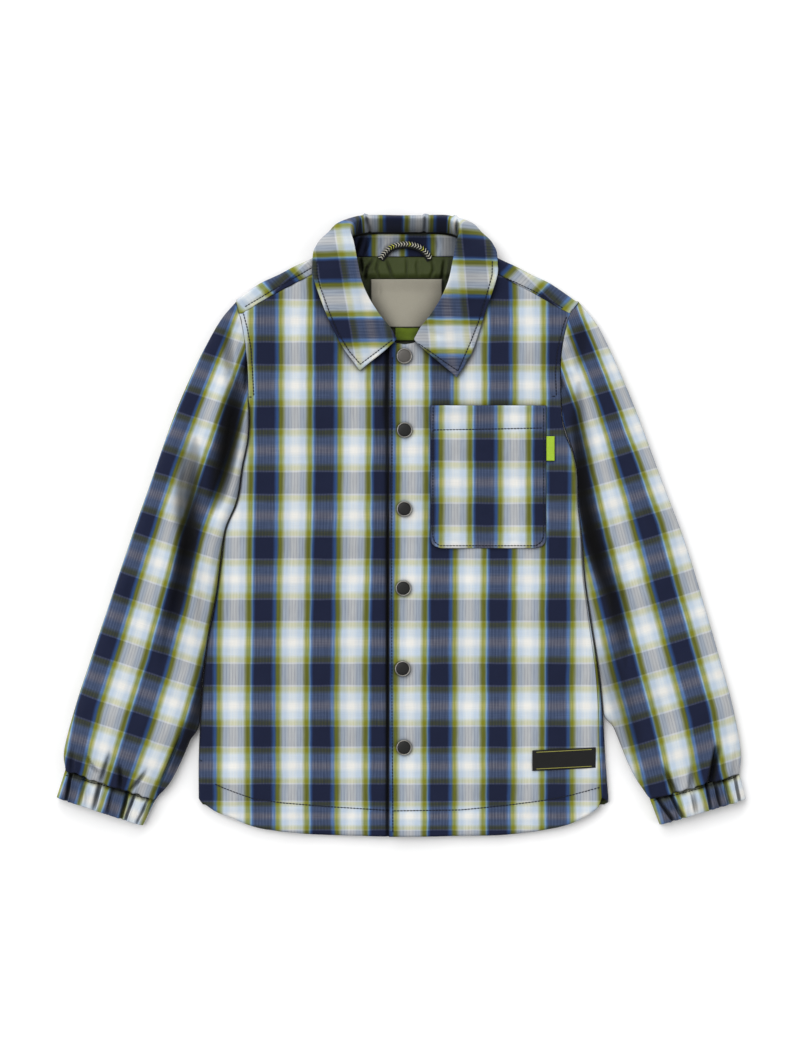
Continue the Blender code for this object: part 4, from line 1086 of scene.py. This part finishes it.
def ring(outer, inner, top, edge_height, steps, bow=None):
    """A flattened ring on the floor: along the underside from its inner edge, and back over the top."""
    width = math.dist(outer, inner)
    top_steps, bottom_steps = steps

    def rounded(share, reach):
        near = np.minimum(np.minimum(share, 1.0 - share) * width / reach, 1.0)
        return np.sqrt(np.maximum(1.0 - (1.0 - near) ** 2, 0.0))

    def place(share, z):
        shift = bow(share) if bow else 0.0
        return stacked(mix(inner[0], outer[0], share) + shift, mix(inner[1], outer[1], share), z)

    low = 0.5 - 0.5 * np.cos(math.pi * np.linspace(0.0, 1.0, bottom_steps + 1))
    bend = np.linspace(1.0, 0.0, top_steps + 1)[1:-1]
    high = mix(0.5 - 0.5 * np.cos(math.pi * bend), bend, 0.55)
    bottom = place(low, edge_height * (1.0 - rounded(low, SLEEVE_BOTTOM_ROUND)))
    x = mix(inner[0], outer[0], high)
    y = mix(inner[1], outer[1], high)
    lifted = edge_height + (top(high, x, y) - edge_height) * rounded(high, SLEEVE_TOP_ROUND)
    return np.concatenate([bottom, place(high, lifted)]), len(low)


def ring_chart(points, first_top, charted, margin):
    """How far round each point is, as the chart says on top and by the cloth's length elsewhere."""
    closed = np.concatenate([points, points[:1]])
    steps = np.linalg.norm(np.diff(closed, axis=0), axis=1)
    run = np.concatenate([[0.0], np.cumsum(steps)])
    outer_edge = run[first_top - 1]
    first = int(np.searchsorted(run, outer_edge + margin))
    last = int(np.searchsorted(run, run[-1] - margin * 0.5)) - 1
    marks = np.empty(len(closed))
    marks[first:last + 1] = charted[first:last + 1]
    marks[:first] = marks[first] - (run[first] - run[:first])
    marks[last + 1:] = marks[last] + (run[last + 1:] - run[last])
    return marks


def make_sleeve(name, side, table, rows, dark_rows, node):
    steps = (96, 30)
    armhole_line = (np.array(table[0][0:2]), np.array(table[0][2:4]))

    def bow(share):
        x, y = mix(armhole_line[1][:, None], armhole_line[0][:, None], np.atleast_1d(share))
        return side_x(side, y) + side * ARMHOLE_GAP - x

    rings, charts, dims = [], [], []
    for along in np.linspace(0.0, 1.0, 170):
        outer_x, outer_y, inner_x, inner_y, height = through(table, along)
        clear_x = side_x(side, inner_y) + side * SLEEVE_SIDE_GAP
        apart = max(side * (inner_x - clear_x), 0.0)
        inner_x = clear_x + side * apart * ease(0.0035, 0.009, apart)
        bowed = 1.0 - ease(0.0, ARMHOLE_BOW_REACH, along)
        rounded = ease(0.0, ARMHOLE_FLAT_REACH, along)

        def top(share, x, y):
            crown = height * (1.0 - SLEEVE_CROWN + SLEEVE_CROWN * np.sin(math.pi * share))
            crown = mix(FRONT_TOP, crown, rounded)
            gather = waves(x, y * 0.25, 21, 0.0011, 0.012) * ease(0.91, 1.0, along)
            pucker = waves(x * 0.3, y, 22, 0.0004, 0.014) * (1.0 - ease(0.02, 0.1, along))
            low = creases(x, y, rows) * mix(0.5, 1.0, rounded)
            soft = waves(x, y, 23, 0.0006, 0.05) + waves(x, y, 24, 0.0002, 0.018)
            return np.maximum(crown + gather + pucker + low + soft, SLEEVE_EDGE_HEIGHT * 0.55)

        edge = mix(FRONT_TOP / 2, SLEEVE_EDGE_HEIGHT, rounded)
        points, first_top = ring((outer_x, outer_y), (inner_x, inner_y), top, edge, steps,
                                 lambda share: bow(share) * bowed)
        u, v = sleeve_chart(side, points[:, 0], points[:, 1])
        u = ring_chart(points, first_top, np.append(u, u[0]), 0.006)
        # Shade painted along the sleeve's top, none on its underside
        dim = painted_shade_along(points[:, 0], points[:, 1], dark_rows)
        dim[:first_top] = 0.0
        dims.append(dim)
        scallop = waves(u[:-1], 0.0 * u[:-1], 26, 0.0008, 0.015) * ease(0.965, 1.0, along)
        points[:, :2] += scallop[:, None] * np.array(SLEEVE_AXES[side][0])
        rings.append(points)
        charts.append(np.stack([u, np.append(v, v[0])], -1))
    made = grid_object(name, np.array(rings), np.array(charts), PLAID, wrap=True, flip=side < 0,
                       inner_look=LINING, painted_shade=np.array(dims))
    place_piece(made, "plaid", node)
    return made


def make_cuff(name, side, ends, rows, node):
    steps = (260, 60)
    rings, charts = [], []
    for along in np.linspace(0.0, 1.0, 30):
        outer_x, outer_y, inner_x, inner_y = mix(np.array(ends[0]), np.array(ends[1]), along)
        bulge = CUFF_BULGE * math.sin(math.pi * along)

        def top(share, x, y):
            ends_in = 1.0 - 0.35 * (1.0 - ease(0.0, 0.22, along))
            fine = waves(x, y * 0.2, 31, 0.0006, 0.0075) + waves(x, y, 32, 0.0004, 0.016)
            return np.maximum(CUFF_HEIGHT * ends_in + bulge + fine + creases(x, y, rows), 0.0055)

        points, first_top = ring((outer_x, outer_y), (inner_x, inner_y), top, SLEEVE_EDGE_HEIGHT, steps)
        u = cuff_chart(side, points[:, 0], points[:, 1])
        u = ring_chart(points, first_top, np.append(u, u[0]), 0.004)
        length = math.dist(ends[0][:2], ends[1][:2])
        rings.append(points)
        charts.append(np.stack([u, np.full(u.shape, CUFF_WEFT_START + length * along)], -1))
    made = grid_object(name, np.array(rings), np.array(charts), PLAID_LIGHTER_FOLD_SHADE, wrap=True, flip=side < 0,
                       inner_look=LINING)
    place_piece(made, "plaid", node)
    return made


# The collar and what shows in the neck

def collar_guides(side):
    placed = []
    lines = (COLLAR_SEAM, COLLAR_ROLL, COLLAR_FALL, COLLAR_TURN, COLLAR_EDGE)
    for section in range(len(COLLAR_SEAM)):
        points = []
        for number, line in enumerate(lines):
            x, y, z = line[section]
            toward_edge = number / (len(lines) - 1)
            toward_point = ease(POINT_FROM_Y, POINT_FULL_Y, y) * toward_edge if side > 0 else 0.0
            at_x = NECK_X + side * x + RIGHT_POINT_SHIFT[0] * toward_point
            at_y = y + RIGHT_POINT_SHIFT[1] * toward_point
            carrier_z = under_collar_z(at_x, at_y) if section >= COLLAR_ON_FRONT_FROM else 0.0
            points.append((at_x, at_y, carrier_z + z))
        placed.append(points)
    return placed


def collar_chart(x, y, at):
    """The warp runs round the neck: down the leaves it follows y, and along the back x."""
    left_u = 0.2545 - y
    left_v = (x + 0.071) - 0.16 * (0.2545 - y)
    right_u = y - 0.276 - 4.0 * WARP_PERIOD
    right_v = -(x - 0.0726) + 0.09 * (0.276 - y)
    back_u = -(x + 0.007) * 1.17 - 2.0 * WARP_PERIOD
    back_v = 0.304 - y + WEFT_PERIOD
    left = 1.0 - ease(8.0, 9.6, at)
    right = ease(12.4, 14.0, at)
    u = left * left_u + right * right_u + (1.0 - left - right) * back_u
    v = left * left_v + right * right_v + (1.0 - left - right) * back_v
    return u, v


def make_collar():
    guides = np.array(collar_guides(-1)[::-1] + collar_guides(1)[1:])
    along = np.linspace(0.0, 1.0, 210)
    sections = np.stack([through(guides[:, k], along) for k in range(guides.shape[1])], 1)
    across = np.linspace(0.0, 1.0, 52)
    points = np.array([through(section, across) for section in sections])
    x, y, z = points[..., 0], points[..., 1], points[..., 2]
    lines = (LEFT_LEAF_STITCHES, RIGHT_LEAF_STITCHES)
    fall = ease(0.3, 0.5, across)[None, :]
    edge_puff = 0.0006 * np.exp(-(((across - 0.96) / 0.05) ** 2))[None, :]
    relief = fall * (grooves(x, y, lines) + creases(x, y, COLLAR_CREASES) + edge_puff)
    relief = relief + waves(x, y, 41, 0.0004, 0.03) + waves(x, y, 42, 0.00015, 0.012)
    pleats = creases(x, y, COLLAR_PLEATS) * (1.0 - ease(0.5, 0.62, across)[None, :])
    points[..., 1] -= 0.55 * pleats
    relief = relief + 0.7 * pleats
    points[..., 2] = np.maximum(z + relief, 0.0002)
    chart = stacked(*collar_chart(x, y, along[:, None] * (len(guides) - 1)))
    made = grid_object("shell_collar", points, chart, PLAID, flip=True, wall=0.0016)
    place_piece(made, "plaid", "collar")
    return made


def sheet_grid(corners, height, columns, rows, inset=None):
    low_x, high_x, low_y, high_y = corners
    y = np.linspace(low_y, high_y, rows)[:, None]
    share = np.linspace(0.0, 1.0, columns)[None, :]
    shift = inset(y) if inset else 0.0
    x = mix(low_x + shift, high_x - shift, share)
    x, y = np.broadcast_arrays(x, y)
    return stacked(x, y, height(x, y))


def make_facing():
    beside = np.linspace(-FACING_HALF_WIDTH, FACING_HALF_WIDTH, 76)[None, :]
    top = np.minimum(FACING_TOP_Y, curve(BACK_NECKLINE, np.abs(beside)) - FACING_INSIDE_SEAM)
    y = mix(FACING_LOW_Y, top, np.linspace(0.0, 1.0, 20)[:, None])
    x = NECK_X + beside + 0.0 * y
    z = back_inside_z(x, y) + SEAM_GAP + FACING_WALL
    z = z + 0.0022 + creases(x, y, NECK_CREASES) + waves(x, y, 51, 0.0004, 0.02)
    u, v = x - FACING_NAVY_X, FACING_WEFT_Y - y + WEFT_PERIOD * 0.42
    made = grid_object("shell_neck_facing", stacked(x, y, z), stacked(u, v), PLAID, wall=0.0008)
    place_piece(made, "plaid", "neck_facing")
    return made


def make_lining():
    y = np.linspace(LINING_LOW_Y, LINING_TOP_Y, 66)[:, None]
    neck = np.array(FRONT_NECKLINE)
    reach = np.minimum(np.interp(y, neck[:, 1], neck[:, 0]) + LINING_UNDER_FRONTS, LINING_HALF_WIDTH)
    x = NECK_X + reach * np.linspace(-1.0, 1.0, 90)[None, :]
    y = y + 0.0 * x
    z = back_inside_z(x, y) + SEAM_GAP + LINING_WALL
    puff = 0.003 * ease(0.246, 0.252, y)
    z = z + puff + creases(x, y, NECK_CREASES) * ease(0.244, 0.25, y) + waves(x, y, 52, 0.0003, 0.018) * 0.5
    made = grid_object("shell_back_lining", stacked(x, y, z), stacked(x, y), LINING, wall=0.0005)
    place_piece(made, "lining", "back_lining")
    return made


def on_lining(x, y):
    return back_inside_z(x, y) + 2.0 * SEAM_GAP + LINING_WALL + LABEL_WALL + 0.0004


def on_left_front(wall):
    return lambda x, y: left_front_z(x, y) + ON_CLOTH_GAP + wall


def make_labels():
    points = sheet_grid(NECK_LABEL, on_lining, 60, 44)
    x, y = points[..., 0], points[..., 1]
    hems = sum(0.0003 * np.exp(-(((x - edge) / 0.003) ** 2)) for edge in NECK_LABEL[:2])
    points[..., 2] += creases(x, y, LABEL_CREASES) + waves(x, y, 61, 0.0003, 0.03) + 0.0006 + hems
    made = grid_object("woven_neck_label", points, stacked(x, y), GREIGE, wall=0.0004)
    place_piece(made, "label", "neck_label")
    points = sheet_grid(SIZE_LABEL, on_lining, 24, 14)
    x, y = points[..., 0], points[..., 1]
    points[..., 2] += waves(x, y, 62, 0.0002, 0.012)
    made = grid_object("woven_size_label", points, stacked(x, y), LIME_DARK, wall=0.0004)
    place_piece(made, "lime", "size_label")
    points = sheet_grid(HEM_LABEL, on_left_front(HEM_LABEL_WALL), 60, 22)
    x, y = points[..., 0], points[..., 1]
    left, right, low, high = HEM_LABEL
    border = np.minimum(np.minimum(x - left, right - x), np.minimum(y - low, high - y))
    points[..., 2] += waves(x, y, 63, 0.0001, 0.02) - 0.0004 * (1.0 - ease(0.0, 0.0012, border))
    chart = stacked(x, y)
    points[..., 1] = y + HEM_LABEL_SLOPE * (x - (left + right) / 2)
    made = grid_object("woven_hem_label", points, chart, BLACK_LABEL, wall=0.0007)
    place_piece(made, "black_label", "hem_label")
    points = sheet_grid(TAB, on_left_front(TAB_WALL), 12, 26)
    x, y = points[..., 0], points[..., 1]
    points[..., 2] += 0.0003 * np.sin(math.pi * (x - TAB[0]) / (TAB[1] - TAB[0]))
    made = grid_object("woven_pocket_tab", points, stacked(x, y), LIME, wall=TAB_WALL)
    place_piece(made, "lime", "pocket_tab")


def make_pocket():
    left, right, low, high = POCKET_BOX

    def inset(y):
        in_corner = POCKET_CORNER - np.minimum(y - low, POCKET_CORNER)
        return POCKET_CORNER - np.sqrt(np.maximum(POCKET_CORNER**2 - in_corner**2, 0.0))

    points = sheet_grid(POCKET_BOX, on_left_front(POCKET_WALL), 58, 72, inset)
    x, y = points[..., 0], points[..., 1]
    border = np.minimum(np.minimum(x - left, right - x), y - low)
    puff = 0.0008 * ease(0.002, 0.016, border) - 0.0004 * (1.0 - ease(0.0, 0.0015, border))
    lines = (POCKET_STITCHES, POCKET_BAND_STITCHES)
    mouth = 0.0007 * np.exp(-(((y - high) / 0.006) ** 2))
    points[..., 2] += puff + mouth + grooves(x, y, lines, 0.0006, 0.0012)
    points[..., 2] += waves(x, y, 71, 0.0004, 0.034) + waves(x, y, 72, 0.00012, 0.01)
    chart = stacked(x - POCKET_NAVY_X, POCKET_NAVY_Y - y)
    made = grid_object("shell_pocket", points, chart, PLAID, wall=0.0014)
    place_piece(made, "plaid", "pocket")
    return made


# Small parts

def tube_mesh(paths, radius, sides=6):
    """Round tubes along paths of points, closed at both ends."""
    vertices, faces = [], []
    for path in paths:
        path = np.asarray(path, dtype=float)
        first = len(vertices)
        headings = np.gradient(path, axis=0)
        headings /= np.linalg.norm(headings, axis=1)[:, None]
        for number, (point, heading) in enumerate(zip(path, headings)):
            beside = np.cross(heading, (0.0, 0.0, 1.0))
            beside /= max(np.linalg.norm(beside), 1e-6)
            above = np.cross(beside, heading)
            end = number in (0, len(path) - 1)
            size = radius * (0.55 if end else 1.0)
            for k in range(sides):
                angle = 2.0 * math.pi * k / sides
                vertices.append(point + size * (math.cos(angle) * beside + math.sin(angle) * above))
        last = first + (len(path) - 1) * sides
        for start in range(first, last, sides):
            for k in range(sides):
                a, b = start + k, start + (k + 1) % sides
                faces.append((a, b, b + sides, a + sides))
        faces.append(tuple(first + k for k in range(sides))[::-1])
        faces.append(tuple(last + k for k in range(sides)))
    mesh = bpy.data.meshes.new("tubes")
    mesh.from_pydata([tuple(v) for v in vertices], [], faces)
    mesh.shade_smooth()
    return mesh


def surface_of(piece):
    mesh = piece.data
    return BVHTree.FromPolygons([v.co for v in mesh.vertices], [tuple(p.vertices) for p in mesh.polygons])


def drop_on(tree, x, y):
    hit = tree.ray_cast(Vector((x, y, 0.2)), Vector((0.0, 0.0, -1.0)))[0]
    return hit.z if hit else None


STITCH_PITCH = 0.0032
STITCH_LENGTH = 0.0028
STITCH_RADIUS = 0.00045


def make_stitches(name, piece, lines):
    """Rows of single stitches pulled into the cloth of a piece."""
    tree = surface_of(piece)
    paths = []
    for line in lines:
        line = spots(line)
        lengths = np.concatenate([[0.0], np.cumsum(np.hypot(*np.diff(line, axis=0).T))])
        for start in np.arange(0.0006, lengths[-1] - STITCH_LENGTH, STITCH_PITCH):
            path = []
            for share in (0.0, 0.25, 0.5, 0.75, 1.0):
                at = start + share * STITCH_LENGTH
                x = float(np.interp(at, lengths, line[:, 0]))
                y = float(np.interp(at, lengths, line[:, 1]))
                z = drop_on(tree, x, y)
                if z is not None:
                    path.append((x, y, z - 0.0001 + 0.00032 * math.sin(math.pi * share)))
            if len(path) == 5:
                paths.append(path)
    made = add_object(name, tube_mesh(paths, STITCH_RADIUS, 5), THREAD)
    place_piece(made, "plaid")
    return made


CORE_RADIUS = 0.0019
YARN_RADIUS = 0.0005
CHEVRON_PITCH = 0.0028
CHEVRON_ARMS = ((-0.0027, -0.002), (0.0, 0.0), (0.0022, -0.0016))
LIME_CHEVRONS = (5, 6, 12, 17)


def make_loop():
    """A flat braid: a dark core with pale yarns over it in chevrons, its black widened on its lower side,
    partly as painted shadow under the loop.
    """
    path = through(LOOP_POINTS, np.linspace(0.0, 1.0, 150))
    path[:, 2] += back_inside_z(path[:, 0], path[:, 1]) + SEAM_GAP + FACING_WALL
    length = np.concatenate([[0.0], np.cumsum(np.linalg.norm(np.diff(path, axis=0), axis=1))])
    headings = np.gradient(path, axis=0)
    headings /= np.linalg.norm(headings, axis=1)[:, None]
    beside = np.cross(headings, (0.0, 0.0, 1.0))
    beside /= np.linalg.norm(beside, axis=1)[:, None]

    def at(run, across, lift):
        place = [np.interp(run, length, path[:, k] + across * beside[:, k]) for k in range(3)]
        return np.array(place) + (0.0, 0.0, lift)

    # A second black tube beside the core, toward the hem: partly the braid's dark lower edge, partly
    # painted shadow under the loop
    inner = path + 0.0022 * beside - (0.0, 0.0, 0.0004)
    core = add_object("loop_core", tube_mesh([path, inner], CORE_RADIUS, 12), BLACK_YARN)
    place_piece(core, "braid", "hanger_loop")
    white, lime = [], []
    for number, run in enumerate(np.arange(0.0026, length[-1], CHEVRON_PITCH)):
        arms = [at(run + back, across, CORE_RADIUS - 90.0 * across**2) for across, back in CHEVRON_ARMS]
        (lime if number in LIME_CHEVRONS else white).append(arms)
    for name, strokes, look in (("white", white, WHITE_YARN), ("lime", lime, LIME_YARN)):
        yarn = add_object(f"loop_{name}_chevrons", tube_mesh(strokes, YARN_RADIUS), look)
        yarn.parent = core
    return core


SNAP_CAP = ((0.0, 0.0024), (0.0018, 0.00238), (0.0036, 0.0023), (0.0054, 0.0021), (0.0061, 0.0019),
            (0.0065, 0.0016))
SNAP_RIM = ((0.0065, 0.0016), (0.0066, 0.0021), (0.0068, 0.0025), (0.0071, 0.0026), (0.0074, 0.0023),
            (0.0076, 0.0018), (0.0077, 0.0011), (0.0076, 0.0004), (0.0074, -0.0002))


def make_snap(number, x, y):
    """A turned cap: a dark shallow dish inside a brighter rim."""
    seat = float(left_front_z(x, y)) + SNAP_SEAT_GAP
    around = 48
    profile = SNAP_CAP[1:] + SNAP_RIM[1:]
    angles = np.linspace(0.0, 2.0 * math.pi, around, endpoint=False)
    vertices = [(x, y, seat + SNAP_CAP[0][1])]
    for radius, height in profile:
        vertices += [(x + radius * math.cos(a), y + radius * math.sin(a), seat + height) for a in angles]
    faces = [(0, 1 + k, 1 + (k + 1) % around) for k in range(around)]
    for j in range(len(profile) - 1):
        for k in range(around):
            a = 1 + j * around + k
            b = 1 + j * around + (k + 1) % around
            faces.append((a, a + around, b + around, b))
    last = 1 + (len(profile) - 1) * around
    faces.append(tuple(last + k for k in range(around))[::-1])
    mesh = bpy.data.meshes.new(f"metal_snap_{number}")
    mesh.from_pydata(vertices, [], faces)
    mesh.shade_smooth()
    # The top snap gets the cap painted lighter for a glint
    made = add_object(f"metal_snap_{number}", mesh, CAP_WITH_PAINTED_GLINT if number == 1 else CAP)
    mesh.materials.append(RIM)
    cap_faces = around * (len(SNAP_CAP) - 1)
    for face in mesh.polygons:
        face.material_index = 0 if face.index < cap_faces else 1
    place_piece(made, "snap", f"snap_{number}")


# The floor, the light and the camera

FLOOR_Z = -0.0003
# Columns: name, the way its light goes, strength, spread in degrees
SUNS = (
    ("key", (0.62, -0.45, -0.95), 1.85, 50.0),
    ("low", (0.05, -1.0, -0.42), 1.25, 40.0),
    ("right", (-0.95, 0.1, -0.42), 0.85, 40.0),
    ("left", (0.95, 0.1, -0.38), 0.3, 40.0),
)
SKY_STRENGTH = 0.42


def make_stage():
    bpy.ops.mesh.primitive_plane_add(size=8.0, location=(0.0, 0.0, FLOOR_Z))
    floor = bpy.context.object
    floor.name = "floor"
    made = Nodes("pale floor")
    soft = made.noise(made.place(), 3.0)
    pale = made.blend(soft, (0.95, 0.95, 0.955, 1.0), (0.97, 0.97, 0.97, 1.0))
    made.put(made.shader, {"Base Color": pale, "Roughness": 0.9})
    floor.data.materials.append(made.material)


def make_lights():
    for name, heading, strength, spread in SUNS:
        data = bpy.data.lights.new(name, "SUN")
        data.energy = strength
        data.angle = math.radians(spread)
        sun = bpy.data.objects.new(name, data)
        bpy.context.scene.collection.objects.link(sun)
        sun.rotation_euler = Vector(heading).to_track_quat("-Z", "Y").to_euler()
    world = bpy.data.worlds.new("studio")
    world.use_nodes = True
    sky = world.node_tree.nodes["Background"]
    sky.inputs["Color"].default_value = (1.0, 1.0, 1.0, 1.0)
    sky.inputs["Strength"].default_value = SKY_STRENGTH
    bpy.context.scene.world = world
    bpy.context.scene.view_settings.view_transform = "Standard"


CAMERA_PLACE = (-0.001, 0.006, 2.4556)
CAMERA_LENS = 85.0


def make_camera():
    data = bpy.data.cameras.new("camera")
    data.lens = CAMERA_LENS
    data.sensor_width = 36.0
    data.clip_start = 0.05
    camera = bpy.data.objects.new("camera", data)
    bpy.context.scene.collection.objects.link(camera)
    camera.location = CAMERA_PLACE
    bpy.context.scene.camera = camera


make_camera()
make_lights()
make_stage()
make_back()
yoke = make_yoke()
front_right = make_front("shell_front_right", -1, PLACKET_UNDER_X, right_front_z, "front_right")
front_left = make_front("shell_front_left", 1, PLACKET_X, left_front_z, "front_left")
make_sleeve("shell_sleeve_left", -1, SLEEVE_LEFT_RINGS, SLEEVE_LEFT_CREASES, SLEEVE_LEFT_PAINTED_SHADE,
            "sleeve_left")
make_sleeve("shell_sleeve_right", 1, SLEEVE_RIGHT_RINGS, SLEEVE_RIGHT_CREASES, SLEEVE_RIGHT_PAINTED_SHADE,
            "sleeve_right")
cuff_left = make_cuff("shell_cuff_left", -1, CUFF_LEFT_ENDS, CUFF_LEFT_CREASES, "cuff_left")
cuff_right = make_cuff("shell_cuff_right", 1, CUFF_RIGHT_ENDS, CUFF_RIGHT_CREASES, "cuff_right")
collar = make_collar()
make_facing()
make_lining()
make_labels()
pocket = make_pocket()
make_loop()
for number, (snap_x, snap_y) in enumerate(SNAPS, start=1):
    make_snap(number, snap_x, snap_y)
left_lines = (HEM_STITCHES[7:], PLACKET_STITCHES, RIGHT_ARMHOLE_STITCHES, *RIGHT_BARS)
right_lines = (HEM_STITCHES[:8], LEFT_ARMHOLE_STITCHES, *LEFT_BARS)
make_stitches("stitches_front_left", front_left, left_lines)
make_stitches("stitches_front_right", front_right, right_lines)
make_stitches("stitches_cuff_left", cuff_left, (LEFT_CUFF_STITCHES,))
make_stitches("stitches_cuff_right", cuff_right, (RIGHT_CUFF_STITCHES,))
make_stitches("stitches_yoke", yoke, (LEFT_YOKE_STITCHES, RIGHT_YOKE_STITCHES))
make_stitches("stitches_pocket", pocket, (POCKET_STITCHES, POCKET_BAND_STITCHES))
make_stitches("stitches_collar", collar, (LEFT_LEAF_STITCHES, RIGHT_LEAF_STITCHES))
